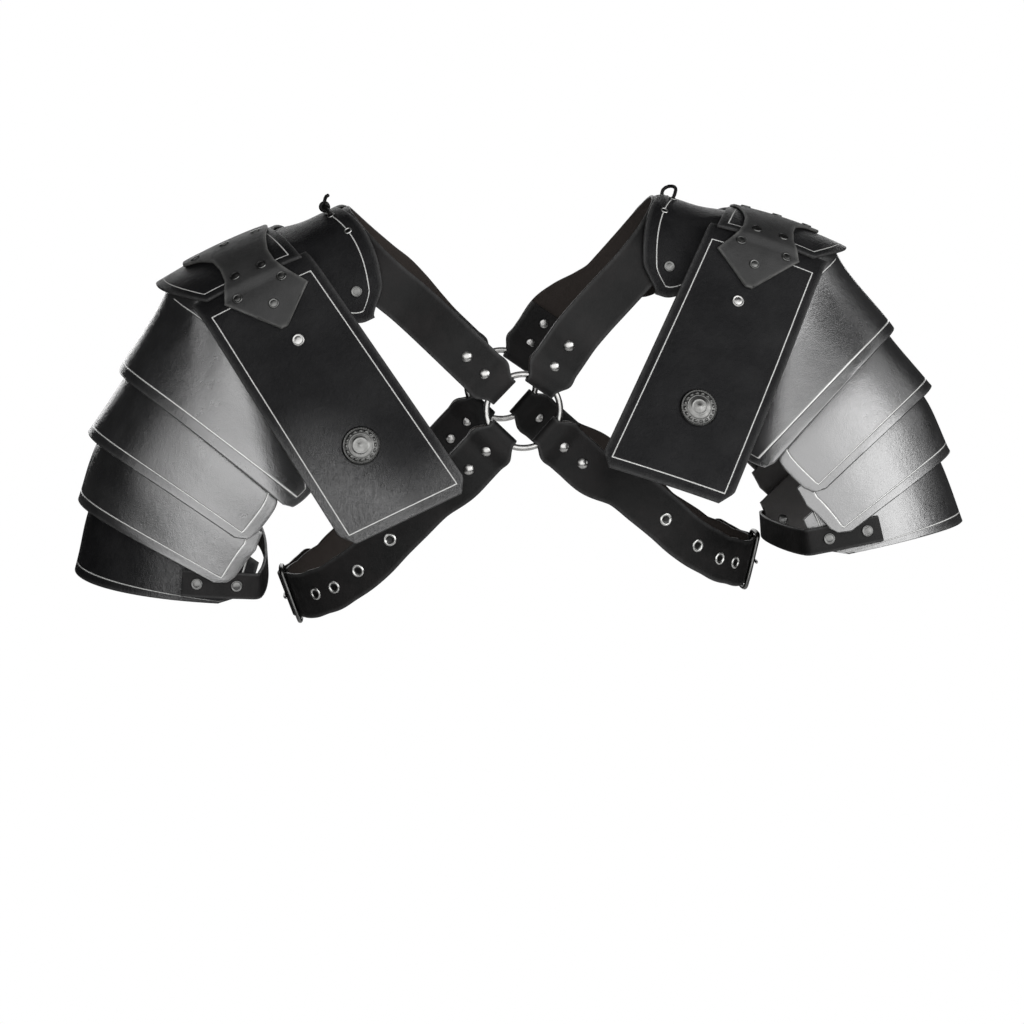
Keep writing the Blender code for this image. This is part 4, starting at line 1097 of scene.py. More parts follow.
    def torso_normal(self, angle: Array) -> Array:
        """Outward direction of the torso."""
        return unit(np.stack([np.sin(angle) / self.torso_width, -np.cos(angle) / self.chest_depth,
                              -self.taper * np.sin(angle) ** 2 / self.torso_width], axis=-1))

    def lower_height(self, angle: Array) -> Array:
        """Height of the lower strap's middle at an angle round the torso."""
        line = np.array(self.lower)
        return np.interp(np.minimum(angle, math.pi - angle), np.arcsin(line[:, 0]),
                         self.ring_height - self.drop * line[:, 1])

    def lower_angles(self) -> tuple[float, float]:
        """Angles of the buckle's heel bar and front bar."""
        heel = self.buckle_angle + 0.02
        return heel, heel - self.buckle_length / self.chest_depth

    def front_path(self, sit: Sit) -> tuple[Array, Array, Array]:
        """Lower front strap, from its fold over the buckle's bar to its tip."""
        points, normals, widths = self.fold_on_chest(-sit.fall)
        heel, front = self.lower_angles()
        end = self.buckle_angle + self.tip / self.chest_depth
        angles = np.concatenate([np.linspace(self.start_angle, front + 0.02, 12),
                                 np.linspace(front + 0.02, heel - 0.03, 5)[1:],
                                 np.linspace(heel - 0.03, end, 6)[1:]])
        over = self.thickness * 1.5 + self.clearance * 2.0 + 2.0 * self.wire
        back = self.thickness / 2.0
        offset = back + (over - back) * smooth((angles - front - 0.02) / (heel - front - 0.05))
        path = self.torso(angles, self.lower_height(angles))
        path = path + self.torso_normal(angles) * offset[:, None]
        width = np.concatenate([widths, np.full(len(angles), self.width)])
        width[-1] = self.width * 0.35
        return (np.concatenate([points, path]),
                np.concatenate([normals, self.torso_normal(angles)]), width)

    def back_path(self, sit: Sit) -> tuple[Array, Array, Array]:
        """Lower back strap, from the back fold to its end under the buckle."""
        points, normals, widths = self.fold_on_chest(-sit.fall)
        mirror = np.array([1.0, -1.0, 1.0])
        angles = np.linspace(math.pi - self.start_angle, self.buckle_angle - 0.02, 14)
        path = self.torso(angles, self.lower_height(angles))
        path = path + self.torso_normal(angles) * self.thickness / 2.0
        return (np.concatenate([points * mirror, path]),
                np.concatenate([normals * mirror, self.torso_normal(angles)]),
                np.concatenate([widths, np.full(14, self.width)]))

    def buckle_frame(self) -> tuple[Array, Array, Array, Array, float]:
        """Heel point, direction along the strap, up, outward, and half the inner height."""
        heel, front = self.lower_angles()
        bar = self.thickness + self.clearance + self.wire
        high = self.thickness + self.clearance * 3.0 + self.wire
        angles = np.array([heel, front])
        places = self.torso(angles, self.lower_height(angles))
        places = places + self.torso_normal(angles) * np.array([[bar], [high]])
        along = unit(places[1] - places[0])
        facing = self.torso_normal(np.array([(heel + front) / 2.0]))[0]
        up = unit(np.cross(along, facing))
        half = self.width / 2.0 + self.wire + self.clearance + self.buckle_play / 2.0
        return places[0], along, up, facing, half

    def buckle(self, sit: Sit) -> None:
        """Round wire frame with a prong that lies over its front bar."""
        heel, along, up, facing, half = self.buckle_frame()
        turns = np.linspace(0.0, math.pi / 2.0, 7)
        corner, size = 0.004, self.buckle_length
        corners = [(size - corner, half - corner, 0.0), (corner, half - corner, math.pi / 2.0),
                   (corner, corner - half, math.pi), (size - corner, corner - half, -math.pi / 2)]
        outline = np.concatenate([np.stack([over + corner * np.cos(turns + start),
                                            high + corner * np.sin(turns + start)], axis=1)
                                  for over, high, start in corners])
        path = heel + outline[:, :1] * along + outline[:, 1:] * up
        rows, _share = refine(np.concatenate([path, path[:1]]), 0.0011)
        hand = np.array([sit.hand, 1.0, 1.0])
        points, faces = tube_mesh(rows[:-1] * hand, self.wire, 14, True)
        frame_piece = add_piece("side_buckle_wire_" + sit.name, points, faces, self.dark_metal)
        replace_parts(frame_piece, "side_buckle_" + sit.name)
        lift = self.wire + 0.0032
        prong = np.array([(0.0010, 0.0030), (0.0045, 0.0052), (0.0100, lift), (0.0160, lift),
                          (size, 0.0042), (size + 0.0030, 0.0036)])
        path = heel + prong[:, :1] * along + prong[:, 1:] * facing
        rows, share = refine(path, 0.0008)
        radius = 0.00145 * np.sqrt(np.clip(1.0 - (share - 0.05) ** 6, 0.05, 1.0))
        points, faces = tube_mesh(rows * hand, radius, 12, False)
        add_piece("buckle_prong_" + sit.name, points, faces, self.metal)

    def ring(self, name: str, depth: float) -> None:
        """A welded round ring."""
        turns = np.linspace(0.0, 2.0 * math.pi, 120, endpoint=False)
        path = np.stack([self.ring_radius * np.cos(turns), np.full(120, depth),
                         self.ring_height + self.ring_radius * np.sin(turns)], axis=-1)
        points, faces = tube_mesh(path, self.ring_wire, 20, True)
        piece = add_piece(name + "_steel", points, faces, self.metal)
        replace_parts(piece, name)

    def strap(self, name: str, sit: Sit, path: tuple[Array, Array, Array]) -> bpy.types.Object:
        """Make one strap on its side and hide the plain solid."""
        hand = np.array([sit.hand, 1.0, 1.0])
        piece = Strap("%s_leather_%s" % (name, sit.name), path[0] * hand, path[1] * hand, path[2],
                      self.leather).build()
        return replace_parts(piece, "%s_%s" % (name, sit.name))

    def rivet_rows(self, sit: Sit) -> None:
        """Two rivets on each strap end at each ring."""
        rivets = Rivets("harness_rivets_" + sit.name, self.metal)
        lift = self.clearance / 2.0 + self.thickness
        for angle in (sit.rise, -sit.fall):
            heading = math.radians(angle)
            way = np.array([math.cos(heading) * sit.hand, 0.0, math.sin(heading)])
            for back in (-1.0, 1.0):
                axis = np.array([0.0, back, 0.0])
                for place in self.rivet_places:
                    centre = np.array([0.0, back * self.chest_depth, self.ring_height])
                    centre = centre + way * place + axis * lift
                    rivets.at(np.stack([centre, axis, way, np.cross(axis, way)]))
        rivets.build()

    def lower_frame(self, sit: Sit, angle: float, height: float) -> Array:
        """Centre and directions on the lower strap at an angle, a height off the torso."""
        angles = np.radians([angle, angle + 1.0])
        places = self.torso(angles, self.lower_height(angles))
        hand = np.array([sit.hand, 1.0, 1.0])
        axis = self.torso_normal(angles[:1])[0]
        return square_frame((places[0] + axis * height) * hand, axis * hand,
                            (places[1] - places[0]) * hand)

    def lower_metal(self, sit: Sit) -> None:
        """Four eyelets in the front strap, and the rivet of its end behind the buckle."""
        eyelets = Eyelets("strap_eyelets_" + sit.name, self.eyelet_metal)
        for angle in self.eyelet_angles:
            eyelets.at(self.lower_frame(sit, angle, self.thickness), self.eyelet_radius)
        eyelets.build()
        lift = self.thickness * 2.0 + self.clearance * 2.0 + 2.0 * self.wire
        rivet = Rivets("end_rivet_" + sit.name, self.dark_metal, 0.0046)
        rivet.at(self.lower_frame(sit, self.tip_rivet_angle, lift))
        rivet.build()

    def build(self) -> None:
        """Make the rings, then each side's straps, buckle and rivets."""
        self.ring("front_ring", -self.chest_depth)
        self.ring("back_ring", self.chest_depth)
        for side in Side:
            sit = side.value
            self.strap("over_strap", sit, self.over_path(sit))
            self.strap("front_strap", sit, self.front_path(sit))
            self.strap("back_strap", sit, self.back_path(sit))
            self.buckle(sit)
            self.rivet_rows(sit)
            self.lower_metal(sit)


@dataclass
class SmallParts:
    """Arm strap, conchos, lace and the rivets of one pauldron's plates."""

    sit: Sit
    strap_leather: bpy.types.Material
    metal: bpy.types.Material
    dark_metal: bpy.types.Material
    eyelet_metal: bpy.types.Material
    silver: bpy.types.Material
    lames: LameStack
    plates: ShoulderPlates
    arm_width: float = 0.022
    arm_tab: float = 0.044
    arm_bulge: float = 0.009
    arm_height: float = 0.0145
    concho_radius: float = 0.0155
    concho_height: float = 0.0070
    concho_place: float = 0.142
    lace_radius: float = 0.0016
    lace_shares: tuple[float, float] = (0.14, 0.385)
    lace_eyelet: float = 0.0036
    lace_line: tuple[tuple[float, float, float], ...] = (
        (0.0, 0.14, 0.0), (-0.001, 0.10, 0.0028), (-0.002, 0.03, 0.0040), (-0.003, -0.02, 0.0055),
        (-0.0045, -0.03, 0.0082), (-0.0070, -0.02, 0.0105), (-0.0095, 0.00, 0.0112))
    lace_loop: tuple[tuple[float, float, float], ...] = (
        (0.0, 0.14, 0.0), (-0.0005, 0.11, 0.0040), (-0.002, 0.07, 0.0072), (-0.0055, 0.03, 0.0082),
        (-0.0095, 0.01, 0.0068), (-0.0125, 0.01, 0.0030), (-0.0122, 0.01, -0.0015),
        (-0.0095, 0.02, -0.0050), (-0.0055, 0.04, -0.0052))

    def arm_path(self) -> tuple[Array, Array]:
        """Middle line and facing directions of the arm strap, tab to tab."""
        last = len(self.lames.rows) - 1
        row = self.lames.rows[last]
        wrap = math.radians(row.wrap_top)
        reach = self.arm_tab / (self.lames.arm_depth * row.depth)
        angles = np.linspace(wrap - reach, wrap + 0.03, 6)
        shares = self.lames.level_shares(last, angles, self.arm_height)
        lift = FORM.clearance * 4.0 + 0.0014
        facing = self.lames.normal(last, angles, shares)
        outer = self.lames.point(last, angles, shares) + lift * facing
        inner_facing = self.lames.normal(last, -angles[::-1], shares[::-1])
        inner = self.lames.point(last, -angles[::-1], shares[::-1]) + lift * inner_facing
        span = float(inner[0][1] - outer[-1][1])
        steps = np.linspace(0.0, 1.0, 14)[1:-1, None]
        middle = hermite(outer[-1], inner[0], np.array([-self.arm_bulge * 4.0, span * 0.4, 0.0]),
                         np.array([self.arm_bulge * 4.0, span * 0.4, 0.0]), steps)
        along = unit(np.gradient(np.concatenate([outer[-1:], middle, inner[:1]]), axis=0))[1:-1]
        across = unit(np.cross(along, np.array([0.0, 0.0, 1.0])))
        if float(across[len(across) // 2][0]) >= 0.0:
            across = -across
        path = np.concatenate([outer, middle, inner])
        normals = np.concatenate([facing, across, inner_facing])
        placed = FORM.rest(path, self.sit)
        return placed, unit(FORM.rest(path + normals * 0.01, self.sit) - placed)

    def arm_strap(self) -> None:
        """Strap round the inside of the arm, riveted twice at each tab."""
        path, facing = self.arm_path()
        piece = Strap("arm_strap_leather_" + self.sit.name, path, facing,
                      np.full(len(path), self.arm_width), self.strap_leather).build()
        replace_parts(piece, "arm_strap_" + self.sit.name)
        rivets = Rivets("arm_rivets_" + self.sit.name, self.dark_metal, 0.0050, Head.RIMMED)
        for end, way in ((0, 1), (len(path) - 1, -1)):
            for step in (1.0, 3.6):
                low = int(step)
                share = step - low
                place = path[end + way * low] * (1.0 - share) + path[end + way * (low + 1)] * share
                axis = unit(facing[end + way * low])
                along = unit(path[end + way * (low + 1)] - path[end + way * low])
                first = unit(along - axis * float(along @ axis))
                rivets.at(np.stack([place + axis * 0.0014, axis, first, np.cross(axis, first)]))
        rivets.build()

    def on_plates(self, rows: Sequence[tuple[float, float, float]], name: str,
                  radius: float, head: Head) -> None:
        """Rivets on the shared surface at rows of place across, length and height."""
        rivets = Rivets(name + "_" + self.sit.name, self.dark_metal, radius, head)
        for across, length, offset in rows:
            rivets.at(FORM.frame_at(self.sit, across, length, offset))
        rivets.build()

    def plate_rivets(self) -> None:
        """Three rivets on the ridge, five in the shield, one on the plate, one on the cap."""
        top = FORM.leather + FORM.clearance
        rows = [(0.013, 0.008, top), (0.041, 0.008, top), (0.068, 0.008, top)]
        for across, length in ((0.0415, 0.0705), (0.018, 0.0715), (0.0066, 0.0885),
                               (0.047, 0.0905), (0.0216, 0.1080)):
            offset = float(self.plates.connector_offset(np.array(length)))
            rows.append((across, length, offset))
        self.on_plates(rows, "connector_rivets", 0.0044, Head.RIMMED)
        single = Rivets("chest_rivet_" + self.sit.name, self.metal, 0.0053, Head.RIMMED)
        single.at(FORM.frame_at(self.sit, 0.016, 0.144, FORM.chest_offset))
        single.build()
        share = 0.80
        spot = FORM.neck(np.array([-0.043, -0.043, -0.042]), np.array([share] * 3),
                         np.array([0.0, 0.001, 0.0]))
        spot = FORM.rest(spot, self.sit)
        axis, first = unit(spot[1] - spot[0]), unit(spot[2] - spot[0])
        cap = Rivets("cap_rivet_" + self.sit.name, self.dark_metal, 0.0048, Head.RIMMED)
        cap.at(np.stack([spot[0], axis, first, np.cross(axis, first)]))
        cap.build()

    def concho(self) -> None:
        """Domed round ornament: a rope rim, a ring of beads and a rosette of eight lobes.

        The face is a grid of turn and radius whose height adds a dome, a rim bead, two
        fine rings, petals that follow the cosine of eight turns, and a middle boss.
        """
        length = FORM.saddle_half + FORM.bend + self.concho_place
        centre, axis, first, second = FORM.frame_at(self.sit, float(FORM.axis(length)), length,
                                                    FORM.chest_offset)
        radius, high = self.concho_radius, self.concho_height
        turns = np.linspace(0.0, 2.0 * math.pi, 240, endpoint=False)[None]
        share = np.concatenate([np.linspace(0.0, 0.84, 62)[1:], np.linspace(0.845, 1.0, 20)])[:, None]
        height = 0.0010 + (high - 0.0026) * (1.0 - share ** 2) * 0.78
        rope = 0.00070 * np.exp(-((share - 0.935) / 0.040) ** 2)
        height = height + rope * (1.0 + 0.35 * np.cos(turns * 44.0 + share * 60.0))
        height = height + 0.00034 * np.exp(-((share - 0.635) / 0.014) ** 2)
        height = height + 0.00030 * np.exp(-((share - 0.40) / 0.05) ** 2)
        height = height + 0.00050 * np.exp(-(share / 0.13) ** 2)
        beads = 0.00125 * np.clip(np.cos(turns * 8.0) ** 2 - 0.30, 0.0, 1.0) ** 0.5
        height = height + beads * np.clip(1.0 - ((share - 0.775) / 0.062) ** 2, 0.0, 1.0) ** 0.5
        place = (centre + axis * (height * np.ones_like(turns))[..., None]
                 + radius * share[..., None] * (first * np.cos(turns)[..., None]
                                                + second * np.sin(turns)[..., None]))
        rim = [(1.012, 0.00075), (1.0, 0.00045), (0.96, 0.00030)]
        lower = np.stack([centre + axis * low + radius * wide * (
            first * np.cos(turns[0])[:, None] + second * np.sin(turns[0])[:, None])
            for wide, low in rim])
        rings = np.concatenate([place, lower])
        count, around = rings.shape[:2]
        points = np.concatenate([rings.reshape(-1, 3), [place[0].mean(axis=0)],
                                 [centre + axis * 0.00030]])
        over = np.arange(around)
        beside = (over + 1) % around
        base = count * around
        end = (count - 1) * around
        faces = np.concatenate([
            grid_faces(count, around, wrap=True),
            np.stack([np.full(around, base)] * 2 + [beside, over], axis=1),
            np.stack([np.full(around, base + 1)] * 2 + [end + over, end + beside], axis=1)])
        piece = add_piece("concho_silver_" + self.sit.name, points, faces, self.silver,
                          {"height": np.concatenate([(height * np.ones_like(turns)).ravel() / high,
                                                     np.zeros(around * 3), [1.0, 0.0]])})
        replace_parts(piece, "concho_" + self.sit.name)

    def lace_spot(self, rows: Array) -> Array:
        """Placed points near the cap's neck line, from rows of place past the line, share, height."""
        rows = np.asarray(rows, float)
        across = self.plates.cap_edge(rows[:, 1]) + self.plates.cap_line + rows[:, 0]
        return FORM.rest(FORM.neck(across, rows[:, 1], rows[:, 2]), self.sit)

    def lace_path(self) -> Array:
        """Line of the lace: out of its hole and up, ending in a hook, or in a loop over the edge."""
        line = self.lace_line if self.sit.hand < 0.0 else self.lace_loop
        return self.lace_spot(np.array(line) + np.array([0.0, 0.0, self.lace_radius * 0.4]))

    def lace_eyelets(self) -> None:
        """Two small eyelets on the cap's neck line, the upper one under the lace."""
        eyelets = Eyelets("lace_eyelets_" + self.sit.name, self.eyelet_metal)
        for share in self.lace_shares:
            spot = self.lace_spot(np.array([(0.0, share, 0.0), (0.0, share, 0.01),
                                            (0.01, share, 0.0)]))
            eyelets.at(square_frame(spot[0], spot[1] - spot[0], spot[2] - spot[0]),
                       self.lace_eyelet)
        eyelets.build()

    def lace(self) -> None:
        """Leather thong with a half hitch at the ridge."""
        rows, share = refine(self.lace_path(), 0.0009)
        radius = self.lace_radius * (1.0 - 0.10 * np.sin(share * 41.0) ** 2)
        points, faces = tube_mesh(rows, radius, 16, False)
        piece = add_piece("lace_thong_" + self.sit.name, points, faces, self.strap_leather)
        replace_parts(piece, "lace_" + self.sit.name)
        knot = self.knot(rows)

    def knot(self, rows: Array) -> bpy.types.Object:
        """Half hitch: a coil of one and a half turns wound round the thong at its bend."""
        place = int(len(rows) * (0.52 if self.sit.hand < 0.0 else 0.95))
        centre, along = rows[place], unit(rows[place + 1] - rows[place - 1])
        guide = np.array([0.0, 0.0, 1.0])
        first = unit(guide - along * float(guide @ along))
        second = np.cross(along, first)
        turns = np.linspace(0.0, math.pi * 3.4, 90)[:, None]
        wide = self.lace_radius * 1.9
        path = (centre + along * (turns / (math.pi * 3.4) - 0.5) * self.lace_radius * 3.6
                + wide * (first * np.cos(turns) + second * np.sin(turns)))
        points, faces = tube_mesh(path, self.lace_radius * 1.1, 14, False)
        piece = add_piece("lace_knot_" + self.sit.name, points, faces, self.strap_leather)
        return piece

    def build(self) -> None:
        """Make the small parts of this side."""
        self.lace()
        self.lace_eyelets()
        self.arm_strap()
        self.plate_rivets()
        self.concho()


class Sheet:
    """Short-hand for wiring one material's nodes."""

    def __init__(self, name: str) -> None:
        """Start a material with a Principled shader."""
        self.material = bpy.data.materials.new(name)
        self.material.use_nodes = True
        self.tree = self.material.node_tree
        self.shader = self.tree.nodes["Principled BSDF"]
        self.place = self.add("ShaderNodeTexCoord").outputs["Object"]

    def add(self, kind: str, **settings: object) -> bpy.types.Node:
        """Add a node and set its properties."""
        node = self.tree.nodes.new(kind)
        for key, value in settings.items():
            setattr(node, key, value)
        return node

    def link(self, source: bpy.types.NodeSocket, target: bpy.types.NodeSocket) -> None:
        """Join two sockets."""
        self.tree.links.new(source, target)

    def noise(self, scale: float, detail: float = 4.0, rough: float = 0.5,
              stretch: tuple[float, float, float] = (1.0, 1.0, 1.0)) -> bpy.types.NodeSocket:
        """Cloudy noise in object space, at a scale in waves a metre."""
        mapping = self.add("ShaderNodeMapping")
        mapping.inputs["Scale"].default_value = stretch
        self.link(self.place, mapping.inputs["Vector"])
        node = self.add("ShaderNodeTexNoise")
        node.inputs["Scale"].default_value = scale
        node.inputs["Detail"].default_value = detail
        node.inputs["Roughness"].default_value = rough
        self.link(mapping.outputs["Vector"], node.inputs["Vector"])
        return node.outputs["Fac"]

    def cells(self, scale: float, feature: str = "DISTANCE_TO_EDGE") -> bpy.types.NodeSocket:
        """Cell pattern in object space, such as the pebbles of leather grain."""
        node = self.add("ShaderNodeTexVoronoi", feature=feature)
        node.inputs["Scale"].default_value = scale
        self.link(self.place, node.inputs["Vector"])
        return node.outputs["Distance"]

    def ramp(self, source: bpy.types.NodeSocket, low: float, high: float, start: float = 0.0,
             end: float = 1.0) -> bpy.types.NodeSocket:
        """Straight change of one range of numbers into another, held at its ends."""
        node = self.add("ShaderNodeMapRange")
        for name, value in (("From Min", low), ("From Max", high), ("To Min", start),
                            ("To Max", end)):
            node.inputs[name].default_value = value
        self.link(source, node.inputs["Value"])
        return node.outputs["Result"]

    def mark(self, name: str) -> bpy.types.NodeSocket:
        """Number that the piece carries at each vertex."""
        return self.add("ShaderNodeAttribute", attribute_name=name).outputs["Fac"]

    def math(self, way: str, first: bpy.types.NodeSocket, second: object) -> bpy.types.NodeSocket:
        """One sum of two numbers."""
        node = self.add("ShaderNodeMath", operation=way)
        self.link(first, node.inputs[0])
        if isinstance(second, (int, float)):
            node.inputs[1].default_value = second
        else:
            self.link(second, node.inputs[1])
        return node.outputs[0]

    def mix(self, share: bpy.types.NodeSocket, first: object, second: object) -> bpy.types.NodeSocket:
        """Mix of two colours by a share; each is a socket or a colour."""
        node = self.add("ShaderNodeMix", data_type="RGBA")
        self.link(share, node.inputs["Factor"])
        for value, socket in ((first, node.inputs[6]), (second, node.inputs[7])):
            if isinstance(value, tuple):
                socket.default_value = (*value, 1.0)
            else:
                self.link(value, socket)
        return node.outputs[2]

    def bump(self, height: bpy.types.NodeSocket, depth: float,
             under: Optional[bpy.types.NodeSocket] = None) -> bpy.types.NodeSocket:
        """Fine relief of a depth in metres, over another one if given."""
        node = self.add("ShaderNodeBump")
        node.inputs["Strength"].default_value = 1.0
        node.inputs["Distance"].default_value = depth
        self.link(height, node.inputs["Height"])
        if under is not None:
            self.link(under, node.inputs["Normal"])
        return node.outputs["Normal"]


@dataclass(frozen=True)
class LeatherFinish:
    """Dyed leather with a wax coat: face, burnished rim, flesh side and tooled lines."""

    name: str
    face: tuple[float, float, float]
    worn: tuple[float, float, float]
    rim: tuple[float, float, float]
    flesh: tuple[float, float, float]
    line: tuple[float, float, float]
    roughness: float
    coat: float
    coat_roughness: float
    grain: float
    grain_depth: float
    specular: float = 0.5
    crease: float = 150.0
    coat_follows_sheen: bool = False

    def make(self) -> bpy.types.Material:
        """Wire the leather: pebbled grain, pulled wrinkles, a wax coat that is patchy where it paints a
        sheen, and pale lines.
        """
        sheet = Sheet(self.name)
        patches = sheet.noise(26.0, 5.0, 0.62)
        scuffs = sheet.noise(420.0, 6.0, 0.7, (1.0, 1.0, 0.30))
        pores = sheet.cells(self.grain)
        crease = sheet.noise(self.crease, 7.0, 0.68, (1.0, 1.0, 0.75))
        colour = sheet.mix(sheet.ramp(patches, 0.42, 0.72), self.face, self.worn)
        colour = sheet.mix(sheet.ramp(scuffs, 0.60, 0.80, 0.0, 0.55), colour, self.worn)
        rim = sheet.math("MULTIPLY", sheet.mark("rim"), sheet.ramp(scuffs, 0.30, 0.62, 0.35, 1.0))
        colour = sheet.mix(rim, colour, self.rim)
        inside = sheet.ramp(sheet.mark("inside"), 0.5, 0.95)
        colour = sheet.mix(inside, colour, self.flesh)
        line = sheet.math("MULTIPLY", sheet.mark("line"), sheet.ramp(scuffs, 0.22, 0.48, 0.72, 1.0))
        colour = sheet.mix(line, colour, self.line)
        sheet.link(colour, sheet.shader.inputs["Base Color"])
        gloss = sheet.ramp(patches, 0.30, 0.75, self.roughness - 0.05, self.roughness + 0.09)
        gloss = sheet.math("ADD", gloss, sheet.ramp(crease, 0.35, 0.75, -0.03, 0.05))
        gloss = sheet.math("ADD", gloss, sheet.math("MULTIPLY", inside, 0.40))
        gloss = sheet.math("ADD", gloss, sheet.math("MULTIPLY", line, 0.25))
        sheet.link(gloss, sheet.shader.inputs["Roughness"])
        grain = sheet.bump(sheet.ramp(pores, 0.0, 0.30), self.grain_depth)
        wrinkles = sheet.bump(crease, self.grain_depth * 6.0, grain)
        fine = sheet.bump(scuffs, self.grain_depth * 0.9, wrinkles)
        sheet.link(fine, sheet.shader.inputs["Normal"])
        sheet.link(fine, sheet.shader.inputs["Coat Normal"])
        sheet.shader.inputs["Specular IOR Level"].default_value = self.specular
        # Coat from the painted sheen mark, broken up by the wrinkles: a painted sheen.
        if self.coat_follows_sheen:
            sheen_weight = sheet.math("MULTIPLY", sheet.mark("polish"),
                               sheet.ramp(crease, 0.30, 0.70, 0.72, 1.0))
            sheet.link(sheen_weight, sheet.shader.inputs["Coat Weight"])
        elif self.coat:
            sheet.link(sheet.ramp(inside, 0.0, 1.0, self.coat, 0.0),
                       sheet.shader.inputs["Coat Weight"])
        sheet.shader.inputs["Coat Roughness"].default_value = self.coat_roughness
        return sheet.material


@dataclass(frozen=True)
class MetalFinish:
    """Plated metal: bright on its high places, darker in low places, which on an eyelet is painted shade on
    the floor that stands for its hole.
    """

    name: str
    bright: tuple[float, float, float]
    dull: tuple[float, float, float]
    roughness: float
    scratch: float
    dark_lows_and_hole_shade: bool = False

    def make(self) -> bpy.types.Material:
        """Wire the metal: fine scratches, cloudy tarnish, and darker low places: painted shade on an
        eyelet's floor, and on the concho darker towards its rim and between its rings and beads.
        """
        sheet = Sheet(self.name)
        cloud = sheet.noise(180.0, 5.0, 0.6)
        scratch = sheet.noise(2600.0, 3.0, 0.6, (1.0, 1.0, 0.15))
        colour = sheet.mix(sheet.ramp(cloud, 0.45, 0.80, 0.0, 0.7), self.bright, self.dull)
        if self.dark_lows_and_hole_shade:
            # Low places darker: painted shade on the floor that stands for an eyelet's hole; on the concho,
            # darker towards its rim and between its rings and beads.
            low = sheet.ramp(sheet.mark("height"), 0.10, 0.62, 1.0, 0.0)
            colour = sheet.mix(sheet.math("MULTIPLY", low, 0.96), colour,
                               tuple(value * 0.16 for value in self.dull))
        sheet.link(colour, sheet.shader.inputs["Base Color"])
        sheet.shader.inputs["Metallic"].default_value = 1.0
        gloss = sheet.ramp(cloud, 0.3, 0.8, self.roughness, self.roughness + 0.12)
        sheet.link(sheet.math("ADD", gloss, sheet.ramp(scratch, 0.4, 0.7, 0.0, 0.05)),
                   sheet.shader.inputs["Roughness"])
        sheet.link(sheet.bump(scratch, self.scratch), sheet.shader.inputs["Normal"])
        return sheet.material


@dataclass(frozen=True)
class PaleFloor:
    """Matt pale studio floor."""

    name: str = "pale_floor"
    shade: float = 0.82

    def make(self) -> bpy.types.Material:
        """Wire an even, slightly mottled paint."""
        sheet = Sheet(self.name)
        tone = sheet.noise(3.0, 3.0, 0.5)
        sheet.link(sheet.mix(tone, (self.shade,) * 3, (self.shade * 0.985,) * 3),
                   sheet.shader.inputs["Base Color"])
        sheet.shader.inputs["Roughness"].default_value = 0.9
        return sheet.material


@dataclass
class SoftBox:
    """A square light: where it stands, what it looks at, its size and its power."""

    name: str
    place: tuple[float, float, float]
    target: tuple[float, float, float]
    size: tuple[float, float]
    power: float

    def build(self) -> None:
        """Put the light into the scene, turned to its target."""
        light = bpy.data.lights.new(self.name, "AREA")
        light.shape, light.size, light.size_y = "RECTANGLE", self.size[0], self.size[1]
        light.energy = self.power
        lamp = bpy.data.objects.new(self.name, light)
        lamp.matrix_world = look(np.array(self.place), np.array(self.target), 0.0)
        bpy.context.scene.collection.objects.link(lamp)


def look(place: Array, target: Array, roll: float) -> "object":
    """World matrix of a light or camera at a place that looks at a target."""
    from mathutils import Matrix
    ahead = unit(target - place)
    side = unit(np.cross(ahead, np.array([0.0, 0.0, 1.0])))
    up = np.cross(side, ahead)
    right = side * math.cos(roll) - up * math.sin(roll)
    up = side * math.sin(roll) + up * math.cos(roll)
    matrix = np.eye(4)
    matrix[:3, 0], matrix[:3, 1], matrix[:3, 2], matrix[:3, 3] = right, up, -ahead, place
    return Matrix(matrix.tolist())


